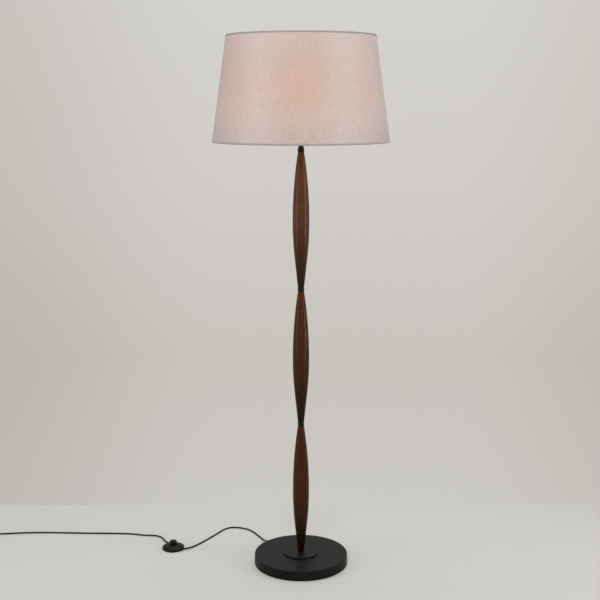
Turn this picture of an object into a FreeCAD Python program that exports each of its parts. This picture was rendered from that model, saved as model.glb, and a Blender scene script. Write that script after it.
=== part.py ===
import FreeCAD, Part
import math
import os

# Candlestick floor lamp: three turned spindles with black rings between them stand on a round
# weighted base and carry a tapered linen shade; a flex runs through a foot switch to a plug.
# Millimetres. +Z is up, the origin is the centre of the base's underside, -Y is the front.

# ---- Driving dimensions ------------------------------------------------------------------------
# Base
base_diameter = 276.0
base_height = 30.0  # floor to the top of the pressed cover
base_edge_radius = 2.0
cover_sheet = 1.2
cover_lip_height = 0.8  # how far the cover's lower lip stands off the floor
pad_thickness = 2.5
pad_margin = 5.0
plate_sheet = 1.5
weight_web = 12.0
weight_rim_width = 18.0
weight_recess_radius = 14.0
step_diameter = 103.0  # raised disc on top of the base
step_height = 4.0
step_edge_radius = 0.8

# Stem
spindle_length = 389.0
spindle_end_diameter = 18.0
spindle_belly_diameter = 48.2
spindle_belly_share = 0.49  # belly's height as a share of the spindle's length
spindle_taper_share = 0.36  # height at which the straight taper would meet the belly's radius
spindle_bore_clearance = 0.2
ring_height = 11.5
ring_end_diameter = 17.8
ring_belly_diameter = 19.1
ring_chamfer = 0.5
tube_diameter = 10.0  # M10 lamp tube
tube_bore = 7.5
thread_clearance = 0.1  # radial, where a thread is drawn plain
tube_end_gap = 0.5
nut_height = 3.0
nut_across_flats = 14.0
washer_height = 1.5
washer_diameter = 24.0
neck_diameter = 15.4
neck_length = 70.0

# Flex
flex_diameter = 5.0
flex_bend_radius = 8.0  # inside the base, under the tube's end
gland_azimuth = 128.0
gland_length = 26.0
flex_clearance = 0.1
gland_wall = 3.1  # rubber round the flex at the cover
gland_tip_wall = 1.0
gland_flange_wall = 3.3
gland_seat_wall = 2.1  # cover's hole outside the flex
clamp_distance = 100.0
clamp_head_height = 1.4
clamp_headroom = 0.5  # under the clamp screws' heads
clamp_width = 28.0
clamp_depth = 10.0
clamp_thickness = 1.5
clamp_screw_spacing = 18.0

# Lampholder and its lock ring
holder_cap_height = 22.0
holder_wall = 2.0
holder_flange_reach = 2.9  # outside the skirt
holder_flange_height = 2.5
skirt_height = 30.0
skirt_wall = 1.8
skirt_slot = 2.5  # between the skirt's two sleeves
socket_clearance = 0.4
contact_leaf = 0.5
contact_step = 0.6
contact_room = 0.5  # between the side contact and the cap's wall
lock_ring_reach = 7.9  # outside the skirt
lock_ring_height = 8.0
lock_ring_notches = 16

# Lamp bulb, 60 mm globe with a 27 mm screw cap
bulb_length = 108.0
globe_diameter = 60.0
bulb_cap_diameter = 26.2
bulb_cap_height = 23.6
bulb_tip_height = 26.5  # the eyelet's underside above the holder's foot
eyelet_radius = 4.8
eyelet_height = 0.8
insulator_height = 2.5
globe_wall = 1.2

# Shade
shade_gap = 28.0  # top of the wood to the shade's lower edge
shade_height = 298.0
shade_top_diameter = 420.0
shade_bottom_diameter = 503.0
fabric_thickness = 0.7
liner_thickness = 0.6
glue_gap = 0.1
seam_width_degrees = 3.0
wire_diameter = 3.0
trim_height = 4.8
trim_thickness = 0.4
fitter_ring_width = 11.0
fitter_ring_thickness = 2.0
arm_diameter = 3.5
arm_knee_radius = 45.0
arm_count = 3
first_arm_azimuth = 30.0
body_gap = 0.3  # between pieces that move against each other

# Foot switch, placed where it lies on the floor
switch_x = -394.0
switch_y = 100.0
switch_radius = 33.4
switch_rim_height = 6.5
switch_dome_height = 15.2
switch_wall = 1.8
switch_floor = 1.2  # height of the base moulding's underside
switch_base_thickness = 2.0
button_radius = 11.0
button_top = 26.6
button_travel = 3.5
button_clearance = 0.4
spring_radius = 8.2
spring_wire = 0.9
spring_turns = 3
entry_gap = 0.1  # under the flex, to the switch's base
entry_collar_wall = 1.8
entry_collar_reach = 35.5  # from the switch's centre to a collar's outer end
outlet_azimuth = 124.0
inlet_azimuth = -29.0
inlet_heading = 25.0

# Free flex: where it lies on the floor
floor_gap = 0.1  # under flex that lies on the floor
bend_share = 0.45  # part of the shorter run that each bend takes
coil_x = -1006.0
coil_y = 174.0
coil_outer_radius = 34.0
coil_turn_gap = 0.7
coil_floor_gap = 0.9  # leaves room for the tie
coil_layer_gap = 0.6
coil_turns_in = 2.0
coil_turns_out = 1.75
tie_width = 8.0
tie_thickness = 0.7
tie_clearance = 0.05

# Plug
plug_length = 36.0
plug_width = 35.0
plug_neck_wall = 4.0  # beside the flex
plug_thickness = 13.7
plug_shoulder = 20.0
plug_boot_length = 20.0
pin_diameter = 4.0
pin_length = 19.0
pin_spacing = 18.6
lead_length = 32.0  # free flex between the coil and the plug's boot

# ---- Heights and radii worked out from them ----------------------------------------------------
base_radius = base_diameter / 2
cover_underside = base_height - cover_sheet
plate_top = pad_thickness + plate_sheet
web_underside = cover_underside - weight_web
weight_radius = base_radius - cover_sheet - 0.4
step_top = base_height + step_height
tube_radius = tube_diameter / 2
flex_radius = flex_diameter / 2
clamp_screw_foot = plate_top + clamp_headroom
clamp_foot = clamp_screw_foot + clamp_head_height
gland_height = clamp_foot + clamp_thickness + flex_clearance + flex_radius
tube_foot = gland_height + flex_bend_radius
nut_foot = tube_foot + 1.0
recess_top = nut_foot + nut_height + washer_height
spindle_feet = [step_top + k * (spindle_length + ring_height) for k in range(3)]
ring_feet = [foot + spindle_length for foot in spindle_feet]
wood_top = ring_feet[2]
neck_foot = wood_top + ring_height
side_contact_radius = bulb_cap_diameter / 2 + body_gap
holder_cap_bore = side_contact_radius + contact_step + contact_leaf + contact_room
holder_cap_radius = holder_cap_bore + holder_wall
socket_radius = bulb_cap_diameter / 2 + socket_clearance
skirt_radius = socket_radius + skirt_wall + skirt_slot + skirt_wall
holder_flange_radius = skirt_radius + holder_flange_reach
lock_ring_radius = skirt_radius + lock_ring_reach
holder_foot = neck_foot + neck_length
flange_foot = holder_foot + holder_cap_height
flange_top = flange_foot + holder_flange_height
skirt_top = flange_foot + skirt_height
fitter_foot = flange_top + body_gap
lock_ring_foot = fitter_foot + fitter_ring_thickness + body_gap
fitter_bore_radius = skirt_radius + 0.9
bulb_tip = holder_foot + bulb_tip_height
bulb_cap_foot = bulb_tip + eyelet_height + insulator_height - 0.8
bulb_cap_top = bulb_cap_foot + bulb_cap_height
bulb_top = bulb_tip + bulb_length
globe_radius = globe_diameter / 2
globe_middle = bulb_top - globe_radius
shade_bottom = wood_top + shade_gap
shade_top = shade_bottom + shade_height
switch_base_top = switch_floor + switch_base_thickness
entry_height = switch_base_top + entry_gap + flex_radius
entry_collar_radius = flex_radius + entry_collar_wall
floor_lie = flex_radius + floor_gap
coil_pitch = flex_diameter + coil_turn_gap
coil_lie = flex_radius + coil_floor_gap
coil_layer_step = flex_diameter + coil_layer_gap
plug_neck_width = flex_diameter + 2 * plug_neck_wall

V = FreeCAD.Vector
ORIGIN = V(0, 0, 0)
UP = V(0, 0, 1)
QUARTER_ROUND = math.sqrt(0.5)
pieces = {}


# ---- Ways of making a shape --------------------------------------------------------------------
def polar(radius, degrees, z=0.0):
    """The point at that radius and azimuth about the Z axis."""
    angle = math.radians(degrees)
    return V(radius * math.cos(angle), radius * math.sin(angle), z)


def disc(radius, bottom, top, x=0.0, y=0.0):
    return Part.makeCylinder(radius, top - bottom, V(x, y, bottom))


def sleeve(outer, inner, bottom, top, x=0.0, y=0.0):
    return disc(outer, bottom, top, x, y).cut(disc(inner, bottom - 1, top + 1, x, y))


def block(middle, length, width, bottom, top, degrees=0.0):
    """A box with its length turned to that azimuth about its own middle."""
    box = Part.makeBox(length, width, top - bottom, V(-length / 2, -width / 2, bottom))
    box.rotate(ORIGIN, UP, degrees)
    box.translate(V(middle.x, middle.y, 0))
    return box


def quarter(start, end, leaving):
    """A quarter round of an outline, as the point it passes and its end."""
    (r0, z0), (r1, z1) = start, end
    s = QUARTER_ROUND
    if leaving == "level":
        return (r0 + (r1 - r0) * s, z1 + (z0 - z1) * s), end
    return (r1 + (r0 - r1) * s, z0 + (z1 - z0) * s), end


def turned(*outline):
    """A solid turned about Z from (radius, height) points; a pair of points is an arc."""
    start = V(outline[0][0], 0, outline[0][1])
    at = start
    edges = []
    for step in outline[1:] + (outline[0],):
        if isinstance(step[0], tuple):
            through, to = (V(r, 0, z) for r, z in step)
            edges.append(Part.Arc(at, through, to).toShape())
        else:
            to = V(step[0], 0, step[1])
            if to.isEqual(at, 1e-9):  # an arc has closed the outline already
                continue
            edges.append(Part.makeLine(at, to))
        at = to
    return Part.Face(Part.Wire(edges)).revolve(ORIGIN, UP, 360)


def lay_along(shape, start, direction):
    """Turns a shape that was made along +Z to lie along a direction from a start point."""
    shape.Placement = FreeCAD.Placement(start, FreeCAD.Rotation(UP, direction))
    return shape


def rod(start, end, radius):
    return Part.makeCylinder(radius, (end - start).Length, start, end - start)


def round_bend(before, corner, after, reach):
    """The arc that rounds a corner, tangent to both runs at that reach from it."""
    way_in = (corner - before).normalize()
    way_out = (after - corner).normalize()
    half_turn = way_in.getAngle(way_out) / 2
    radius = reach / math.tan(half_turn)
    inward = (way_out - way_in).normalize()
    middle = corner + inward * (radius / math.cos(half_turn) - radius)
    arc = Part.Arc(corner - way_in * reach, middle, corner + way_out * reach)
    return arc.toShape(), radius, radius * 2 * half_turn


def run_with_bends(points, reaches):
    """A path of straight runs joined by tangent arcs, its radii and its length."""
    edges = []
    radii = []
    length = 0.0
    at = points[0]
    for before, corner, after, reach in zip(points, points[1:], points[2:], reaches):
        arc, radius, arc_length = round_bend(before, corner, after, reach)
        begin, finish = (vertex.Point for vertex in arc.Vertexes)
        edges += [Part.LineSegment(at, begin).toShape(), arc]
        length += (begin - at).Length + arc_length
        radii.append(radius)
        at = finish
    edges.append(Part.LineSegment(at, points[-1]).toShape())
    length += (points[-1] - at).Length
    return Part.Wire(edges), radii, length


def pipe(path, start, direction, radius):
    """A round solid along a smooth path."""
    section = Part.Wire([Part.Circle(start, direction, radius).toShape()])
    return path.makePipeShell([section], True, False)


def faceted_pipe(path, start, direction, radius, sides):
    """A solid along a smooth path with a many-sided section, for thin wire out of sight."""
    turn = FreeCAD.Rotation(UP, direction)
    corners = [start + turn.multVec(polar(radius, 360 * k / sides)) for k in range(sides + 1)]
    return path.makePipeShell([Part.makePolygon(corners)], True, False)


def free_flex(name, points):
    """A free stretch of flex as a tube whose bends are as large as their runs allow."""
    runs = [(b - a).Length for a, b in zip(points, points[1:])]
    reaches = [bend_share * min(pair) for pair in zip(runs, runs[1:])]
    path, radii, length = run_with_bends(points, reaches)
    solid = pipe(path, points[0], points[1] - points[0], flex_radius)
    section = math.pi * flex_radius**2
    print(f"{name}: length {length:.1f}, volume / (section x length) {solid.Volume / section / length:.4f}")
    print(f"{name}: longest run {max(runs):.0f}, radii " + " ".join(f"{r:.0f}" for r in radii))
    return solid


def biarc(a, way_a, b, way_b):
    """Two arcs, tangent to each other and to the given ways at both ends."""
    chord = b - a
    together = way_a + way_b
    spread = 2 * (1 - way_a.dot(way_b))
    along = chord.dot(together)
    reach = (math.sqrt(along**2 + spread * chord.dot(chord)) - along) / spread
    first, second = a + way_a * reach, b - way_b * reach
    joint = (first + second) * 0.5
    edges = []
    for start, corner, end in ((a, first, joint), (joint, second, b)):
        half = (end - start).Length / 2
        sink = math.sqrt(max(reach**2 - half**2, 0.0))  # corner to the middle of the chord
        height = half * sink / (half + math.sqrt(half**2 + sink**2)) if sink > 0 else 0.0
        inward = ((start + end) * 0.5 - corner).normalize()
        edges.append(Part.Arc(start, corner + inward * (sink - height), end).toShape())
    return edges


def wound(position, turns):
    """The path through a winding's formula in biarcs between those turns, and its end ways."""
    nudge = 1e-4
    spots = [position(turn) for turn in turns]
    ways = [(position(turn + nudge) - position(turn - nudge)).normalize() for turn in turns]
    edges = []
    for k in range(len(turns) - 1):
        edges += biarc(spots[k], ways[k], spots[k + 1], ways[k + 1])
    return edges, spots, ways


# ---- Base --------------------------------------------------------------------------------------
def make_base():
    edge = base_edge_radius
    inner = edge - cover_sheet
    bore = tube_radius + thread_clearance
    gland_way = polar(1, gland_azimuth)
    side_way = polar(1, gland_azimuth + 90)
    gland_radius = flex_radius + gland_wall
    gland_hole_radius = flex_radius + gland_seat_wall
    gland_flange_radius = flex_radius + gland_flange_wall

    cover = turned(
        (bore, base_height),
        (base_radius - edge, base_height),
        quarter((base_radius - edge, base_height), (base_radius, base_height - edge), "level"),
        (base_radius, cover_lip_height),
        (base_radius - cover_sheet, cover_lip_height),
        (base_radius - cover_sheet, base_height - edge),
        quarter(
            (base_radius - cover_sheet, base_height - edge),
            (base_radius - edge, cover_underside),
            "upright",
        ),
        (bore, cover_underside),
    )
    gland_middle = V(0, 0, gland_height)
    hole_start = gland_middle + gland_way * (base_radius - 10)
    hole_end = gland_middle + gland_way * (base_radius + 10)
    pieces["base_cover"] = cover.cut(rod(hole_start, hole_end, gland_hole_radius))

    # The casting is a thick web with a rim, three bosses for the plate's screws and a pad for
    # the flex clamp. The rim is notched where the flex goes out.
    rim_inner = weight_radius - weight_rim_width
    chamfer = 1.5
    weight = turned(
        (bore + 0.5, cover_underside),
        (weight_radius - chamfer, cover_underside),
        (weight_radius, cover_underside - chamfer),
        (weight_radius, plate_top),
        (rim_inner, plate_top),
        (rim_inner, web_underside),
        (weight_recess_radius, web_underside),
        (weight_recess_radius, recess_top),
        (bore + 0.5, recess_top),
    )
    boss_distance = base_radius * 2 / 3
    boss_radius = 7.0
    screw_radius = 1.5
    head_radius = 3.2
    head_height = 1.3
    screw_end = plate_top + 9.0
    screw_spots = [polar(boss_distance, gland_azimuth + 60 + 120 * k) for k in range(3)]
    for spot in screw_spots:
        weight = weight.fuse(disc(boss_radius, plate_top, web_underside + 1, spot.x, spot.y))
    clamp_face = gland_height + flex_radius + flex_clearance
    clamp_spot = gland_way * clamp_distance
    weight = weight.fuse(
        block(clamp_spot, clamp_depth + 2, clamp_width + 2, clamp_face, web_underside + 1, gland_azimuth)
    )
    notch_spot = gland_way * (weight_radius - weight_rim_width / 2)
    notch_width = 15.0
    notch_depth = weight_rim_width + 6
    weight = weight.cut(
        block(notch_spot, notch_depth, notch_width, plate_top - 1, web_underside, gland_azimuth)
    )
    for spot in screw_spots:
        weight = weight.cut(disc(screw_radius + 0.1, plate_top - 1, screw_end + 1, spot.x, spot.y))

    clamp_top = clamp_foot + clamp_thickness
    clamp = block(clamp_spot, clamp_depth, clamp_width, clamp_foot, clamp_top, gland_azimuth)
    clamp_screws = []
    clamp_screw_radius = 1.25
    for side in (-1, 1):
        spot = clamp_spot + side_way * (side * clamp_screw_spacing / 2)
        top = clamp_face + 3.0
        head = disc(2.6, clamp_screw_foot, clamp_foot, spot.x, spot.y)
        clamp_screws.append(head.fuse(disc(clamp_screw_radius, clamp_foot, top, spot.x, spot.y)))
        passage = disc(clamp_screw_radius + 0.1, clamp_foot - 1, top + 0.5, spot.x, spot.y)
        clamp = clamp.cut(passage)
        weight = weight.cut(passage)
    pieces["base_weight"] = weight
    pieces["flex_clamp"] = clamp
    pieces["clamp_screws"] = Part.makeCompound(clamp_screws)

    plate_radius = base_radius - cover_sheet - 0.5
    plate = disc(plate_radius, pad_thickness, plate_top)
    pad = disc(base_radius - pad_margin, 0, pad_thickness)
    plate_screws = []
    for spot in screw_spots:
        plate = plate.cut(disc(screw_radius + 0.3, 0, plate_top + 1, spot.x, spot.y))
        pad = pad.cut(disc(head_radius + 1.2, -1, pad_thickness + 1, spot.x, spot.y))
        head = disc(head_radius, pad_thickness - head_height, pad_thickness, spot.x, spot.y)
        plate_screws.append(head.fuse(disc(screw_radius, pad_thickness, screw_end, spot.x, spot.y)))
    pieces["base_plate"] = plate
    pieces["base_pad"] = pad
    pieces["plate_screws"] = Part.makeCompound(plate_screws)

    pieces["step_plate"] = turned(
        (bore, base_height),
        (step_diameter / 2, base_height),
        (step_diameter / 2, step_top - step_edge_radius),
        quarter(
            (step_diameter / 2, step_top - step_edge_radius),
            (step_diameter / 2 - step_edge_radius, step_top),
            "upright",
        ),
        (bore, step_top),
    )

    nut_top = nut_foot + nut_height
    corner_radius = nut_across_flats / math.sqrt(3)
    corners = [polar(corner_radius, 60 * k, nut_foot) for k in range(7)]
    nut = Part.Face(Part.makePolygon(corners)).extrude(UP * nut_height)
    pieces["base_nut"] = nut.cut(disc(bore, nut_foot - 1, nut_top + 1))
    pieces["base_washer"] = sleeve(washer_diameter / 2, bore, nut_top, recess_top)

    # The gland is a rubber moulding: a flange inside the cover's wall and a ribbed taper outside.
    wall_inside = base_radius - cover_sheet - 0.2
    shoulder = base_radius + 0.1
    tip = base_radius + gland_length
    gland_bore = flex_radius + flex_clearance
    rib_count = 5
    rib_step = (gland_length - 5) / rib_count
    rib_depth = 0.7
    rib_gap = 1.4
    outline = [
        (gland_bore, wall_inside - 2),
        (gland_flange_radius, wall_inside - 2),
        (gland_flange_radius, wall_inside),
        (gland_hole_radius - 0.1, wall_inside),
        (gland_hole_radius - 0.1, shoulder),
        (gland_radius, shoulder),
    ]
    taper = gland_wall - gland_tip_wall - 0.1
    for k in range(1, rib_count + 1):
        along = shoulder + 1 + k * rib_step
        radius = gland_radius - taper * (along - shoulder) / gland_length
        outline += [
            (radius, along - rib_gap),
            (radius - rib_depth, along - rib_gap),
            (radius - rib_depth, along),
            (radius - 0.1, along),
        ]
    outline += [(flex_radius + gland_tip_wall, tip), (gland_bore, tip)]
    pieces["flex_gland"] = lay_along(turned(*outline), gland_middle, gland_way)


# ---- Stem --------------------------------------------------------------------------------------
def spindle(foot):
    """A turned spindle: straight taper, belly arc, and one long arc to the top."""
    end = spindle_end_diameter / 2
    belly = spindle_belly_diameter / 2
    belly_height = spindle_belly_share * spindle_length
    taper_height = spindle_taper_share * spindle_length
    swell = belly - end
    taper = math.atan2(swell, taper_height)
    reach = belly_height - taper_height
    low_radius = reach / math.tan(taper / 2)
    rise = spindle_length - belly_height
    high_radius = (rise**2 + swell**2) / (2 * swell)
    lean = math.asin(rise / high_radius)
    bore = tube_radius + spindle_bore_clearance
    low_start = (belly - reach * math.sin(taper), foot + taper_height - reach * math.cos(taper))
    low_middle = (
        belly - low_radius * (1 - math.cos(taper / 2)),
        foot + belly_height - low_radius * math.sin(taper / 2),
    )
    high_middle = (
        belly - high_radius * (1 - math.cos(lean / 2)),
        foot + belly_height + high_radius * math.sin(lean / 2),
    )
    return turned(
        (bore, foot),
        (end, foot),
        low_start,
        (low_middle, (belly, foot + belly_height)),
        (high_middle, (end, foot + spindle_length)),
        (bore, foot + spindle_length),
    )


def stem_ring(foot):
    """A crowned black ring with chamfered edges, threaded for the lamp tube."""
    top = foot + ring_height
    end = ring_end_diameter / 2
    bore = tube_radius + thread_clearance
    return turned(
        (bore, foot),
        (end - ring_chamfer, foot),
        (end, foot + ring_chamfer),
        ((ring_belly_diameter / 2, foot + ring_height / 2), (end, top - ring_chamfer)),
        (end - ring_chamfer, top),
        (bore, top),
    )


def make_stem():
    for place, foot in zip(("lower", "middle", "upper"), spindle_feet):
        pieces[f"spindle_{place}"] = spindle(foot)
    for place, foot in zip(("lower", "upper", "top"), ring_feet):
        pieces[f"ring_{place}"] = stem_ring(foot)

    joints = [foot + ring_height / 2 for foot in ring_feet[:2]]
    ends = [tube_foot, *joints, holder_foot + 5.0]
    for place, low, high in zip(("lower", "middle", "upper"), ends, ends[1:]):
        low_end = low if place == "lower" else low + tube_end_gap / 2
        high_end = high if place == "upper" else high - tube_end_gap / 2
        pieces[f"tube_{place}"] = sleeve(tube_radius, tube_bore / 2, low_end, high_end)
    neck_bore = tube_radius + thread_clearance
    pieces["neck_tube"] = sleeve(neck_diameter / 2, neck_bore, neck_foot, holder_foot)

    # The flex drops down the tubes, turns under the nut and runs out through the gland.
    flex_top = V(0, 0, holder_foot + 6.0)
    turn = V(0, 0, gland_height)
    flex_end = turn + polar(base_radius + gland_length, gland_azimuth)
    path, _, _ = run_with_bends([flex_top, turn, flex_end], [flex_bend_radius])
    pieces["stem_flex"] = pipe(path, flex_top, V(0, 0, -1), flex_radius)


# ---- Lampholder --------------------------------------------------------------------------------
def make_holder():
    cap_bore = tube_radius + thread_clearance
    boss = 9.0
    cap_inside = holder_cap_bore
    shoulder = holder_foot + 4.0
    dome_top = holder_foot + 13.0
    pieces["holder_cap"] = turned(
        (cap_bore, holder_foot),
        (boss, holder_foot),
        (boss, shoulder),
        quarter((boss, shoulder), (holder_cap_radius, dome_top), "level"),
        (holder_cap_radius, flange_foot),
        (cap_inside, flange_foot),
        (cap_inside, dome_top),
        quarter((cap_inside, dome_top), (boss - 1.0, shoulder + 1.5), "upright"),
        (cap_bore, shoulder + 1.5),
    )

    # The body is a double sleeve, closed at its top, with a flange that the shade sits on.
    socket = socket_radius
    socket_foot = flange_foot + 9.0
    outer_inside = skirt_radius - skirt_wall
    pieces["holder_body"] = turned(
        (outer_inside, flange_foot),
        (holder_flange_radius, flange_foot),
        (holder_flange_radius, flange_top),
        (skirt_radius, flange_top),
        (skirt_radius, skirt_top - 0.8),
        (skirt_radius - 0.8, skirt_top),
        (socket, skirt_top),
        (socket, socket_foot),
        (socket + skirt_wall, socket_foot),
        (socket + skirt_wall, skirt_top - skirt_wall),
        (outer_inside, skirt_top - skirt_wall),
    ).fuse(sleeve(outer_inside + 0.5, holder_cap_radius - 1.0, flange_foot, flange_foot + 1.2))

    insert_foot = holder_foot + 13.5
    insert_top = flange_foot - 1.0
    insert_radius = cap_inside - glue_gap
    post_distance = 8.5
    insert = disc(insert_radius, insert_foot, insert_top)
    terminals = []
    leads = []
    for side in (-1, 1):
        x = side * post_distance
        insert = insert.cut(disc(2.3, insert_foot - 1, insert_top - 2, x, 0))
        terminals.append(disc(2.2, insert_foot - 3.0, insert_top - 2, x, 0))
        start = V(side * 1.4, 0, holder_foot + 6.5)
        end = V(side * (post_distance - 1.2), 0, insert_foot - 3.6)
        leads.append(rod(start, end, 0.7))
    pieces["holder_insert"] = insert
    pieces["holder_terminals"] = Part.makeCompound(terminals)
    pieces["holder_leads"] = Part.makeCompound(leads)

    # Brass leaves: one bends up under the eyelet, one stands beside the screw cap.
    leaf = contact_leaf
    leaf_width = 6.0
    tip = bulb_tip - body_gap
    under = [
        V(-10, 0, insert_top),
        V(-4, 0, insert_top),
        V(2.5, 0, tip - leaf),
        V(5, 0, tip - leaf - 0.6),
        V(5, 0, tip - 0.6),
        V(2.5, 0, tip),
        V(-4.2, 0, insert_top + leaf),
        V(-10, 0, insert_top + leaf),
    ]
    centre_leaf = Part.Face(Part.makePolygon(under + under[:1])).extrude(V(0, leaf_width, 0))
    centre_leaf.translate(V(0, -leaf_width / 2, 0))
    stand = side_contact_radius
    step = contact_step
    beside = [
        V(stand + step, 0, insert_top),
        V(stand + step, 0, insert_top + 5.0),
        V(stand, 0, insert_top + 7.0),
        V(stand, 0, socket_foot - 0.5),
        V(stand + leaf, 0, socket_foot - 0.5),
        V(stand + leaf, 0, insert_top + 7.2),
        V(stand + step + leaf, 0, insert_top + 5.2),
        V(stand + step + leaf, 0, insert_top),
    ]
    side_width = 4.0
    side_leaf = Part.Face(Part.makePolygon(beside + beside[:1])).extrude(V(0, side_width, 0))
    side_leaf.translate(V(0, -side_width / 2, 0))
    pieces["centre_contact"] = centre_leaf
    pieces["side_contact"] = side_leaf

    ring_bore = skirt_radius + body_gap + 0.1
    ring = turned(
        (ring_bore, lock_ring_foot),
        (lock_ring_radius, lock_ring_foot),
        (lock_ring_radius, lock_ring_foot + 2.2),
        (lock_ring_radius - 2.0, lock_ring_foot + 3.0),
        (lock_ring_radius - 2.0, lock_ring_foot + lock_ring_height - 1.0),
        (lock_ring_radius - 3.0, lock_ring_foot + lock_ring_height),
        (ring_bore, lock_ring_foot + lock_ring_height),
    )
    notches = []
    for k in range(lock_ring_notches):
        spot = polar(lock_ring_radius + 0.3, 360 * k / lock_ring_notches)
        notches.append(disc(1.0, lock_ring_foot - 1, lock_ring_foot + 2.6, spot.x, spot.y))
    pieces["lock_ring"] = ring.cut(Part.makeCompound(notches))


# ---- Bulb --------------------------------------------------------------------------------------
def make_bulb():
    cap_radius = bulb_cap_diameter / 2
    pieces["bulb_contact"] = disc(eyelet_radius, bulb_tip, bulb_tip + eyelet_height)
    insulator_foot = bulb_tip + eyelet_height + body_gap
    insulator_top = bulb_cap_foot + 0.8
    pieces["bulb_insulator"] = turned(
        (0, insulator_foot),
        (eyelet_radius + 0.8, insulator_foot),
        (cap_radius - 2.0, insulator_top),
        (0, insulator_top),
    )
    # The screw cap is a cup over the insulator; the housing's neck fits inside its top.
    pieces["bulb_cap"] = turned(
        (0, insulator_top),
        (cap_radius - 2.0, insulator_top),
        (cap_radius - 1.7, insulator_top),
        (cap_radius, insulator_top + 2.5),
        (cap_radius, bulb_cap_top),
        (cap_radius - 0.6, bulb_cap_top),
        (cap_radius - 0.6, insulator_top + 2.8),
        (0, insulator_top + 2.8),
    )
    neck = cap_radius - 0.6 - glue_gap
    split = globe_middle - 12.0
    split_radius = math.sqrt(globe_radius**2 - 12.0**2)
    waist = (cap_radius + 1.4, bulb_cap_top + 2.0)
    shoulder = (split_radius - 1.2, split - 4.0)
    sag = ((waist[0] + shoulder[0]) / 2 - 1.4, (waist[1] + shoulder[1]) / 2 + 2.0)
    pieces["bulb_housing"] = turned(
        (0, insulator_top + 2.8),
        (neck, insulator_top + 2.8),
        (neck, bulb_cap_top),
        (cap_radius + 0.6, bulb_cap_top),
        waist,
        (sag, shoulder),
        (split_radius - 0.4, split),
        (0, split),
    )
    inner_radius = globe_radius - globe_wall
    # The globe's wall is the room between two spheres above the housing's rim.
    centre = V(0, 0, globe_middle)
    globe = Part.makeSphere(globe_radius, centre).cut(Part.makeSphere(inner_radius, centre))
    pieces["bulb_globe"] = globe.cut(disc(globe_radius + 1, globe_middle - globe_radius - 1, split))


# ---- Shade -------------------------------------------------------------------------------------
def shade_radius(z):
    """Outside radius of the fabric at a height."""
    share = (z - shade_bottom) / shade_height
    return (shade_bottom_diameter + share * (shade_top_diameter - shade_bottom_diameter)) / 2


def slant_band(outer, inner, low, high):
    """A conical band that follows the shade's slant, its faces set off from the fabric's."""
    return turned(
        (shade_radius(low) + inner, low),
        (shade_radius(low) + outer, low),
        (shade_radius(high) + outer, high),
        (shade_radius(high) + inner, high),
    )


def make_shade():
    low = shade_bottom + trim_thickness + glue_gap
    high = shade_top - trim_thickness - glue_gap
    laminate = fabric_thickness + glue_gap + liner_thickness
    wire_radius = wire_diameter / 2
    fabric = slant_band(0, -fabric_thickness, low, high)
    # The fabric laps over itself at the back, where it is glued down.
    lap_low = shade_bottom + trim_height + glue_gap
    lap_high = shade_top - trim_height - glue_gap
    lap = slant_band(fabric_thickness / 2, -fabric_thickness / 2, lap_low, lap_high)
    reach = shade_bottom_diameter
    half_width = reach * math.tan(math.radians(seam_width_degrees / 2))
    corners = [ORIGIN, V(-half_width, reach, 0), V(half_width, reach, 0), ORIGIN]
    wedge = Part.Face(Part.makePolygon(corners)).extrude(V(0, 0, shade_height))
    wedge.translate(V(0, 0, shade_bottom))
    pieces["shade_fabric"] = fabric.fuse(lap.common(wedge))
    inner_face = -fabric_thickness - glue_gap
    pieces["shade_liner"] = slant_band(inner_face, inner_face - liner_thickness, low, high)

    wire_room = 0.3  # room round a wire, for the glue and the folded trim
    wire_lift = trim_thickness + wire_room + wire_radius
    wire_inset = laminate + wire_room + wire_radius
    pocket = wire_inset + wire_radius + wire_room
    low_wire_height = shade_bottom + wire_lift
    high_wire_height = shade_top - wire_lift
    low_wire_radius = shade_radius(low_wire_height) - wire_inset
    high_wire_radius = shade_radius(high_wire_height) - wire_inset
    middle = V(0, 0, high_wire_height)
    pieces["shade_top_wire"] = Part.makeTorus(high_wire_radius, wire_radius, middle, UP)

    # Fitter: lower wire, three arms that rise to the middle, and the ring that the holder takes.
    fitter_height = fitter_foot + fitter_ring_thickness / 2
    frame = Part.makeTorus(low_wire_radius, wire_radius, V(0, 0, low_wire_height), UP)
    ring_outer = fitter_bore_radius + fitter_ring_width
    frame = frame.fuse(
        sleeve(ring_outer, fitter_bore_radius, fitter_foot, fitter_foot + fitter_ring_thickness)
    )
    arm_passages = []
    for k in range(arm_count):
        azimuth = first_arm_azimuth + 360 / arm_count * k
        start = polar(low_wire_radius, azimuth, low_wire_height)
        knee = polar(arm_knee_radius, azimuth, fitter_height)
        end = polar(ring_outer - 1.5, azimuth, fitter_height)
        path, _, _ = run_with_bends([start, knee, end], [6.0])
        frame = frame.fuse(pipe(path, start, knee - start, arm_diameter / 2))
        outward = (start - knee).normalize()
        passage_end = start + outward * 0.2
        arm_passages.append(rod(passage_end - outward * 12.0, passage_end, arm_diameter / 2 + 0.3))
    pieces["shade_frame"] = frame

    # Rolled trims fold over the laminate's edge and the wire behind it.
    outer = trim_thickness + glue_gap
    inner = -(pocket + trim_thickness)
    low_trim = slant_band(outer, inner, shade_bottom, shade_bottom + trim_height)
    low_pocket = slant_band(glue_gap, -pocket, shade_bottom + trim_thickness, shade_bottom + 2 * trim_height)
    high_trim = slant_band(outer, inner, shade_top - trim_height, shade_top)
    high_pocket = slant_band(glue_gap, -pocket, shade_top - 2 * trim_height, shade_top - trim_thickness)
    low_trim = low_trim.cut(low_pocket)
    for passage in arm_passages:
        low_trim = low_trim.cut(passage)
    pieces["shade_trim_bottom"] = low_trim
    pieces["shade_trim_top"] = high_trim.cut(high_pocket)


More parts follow.
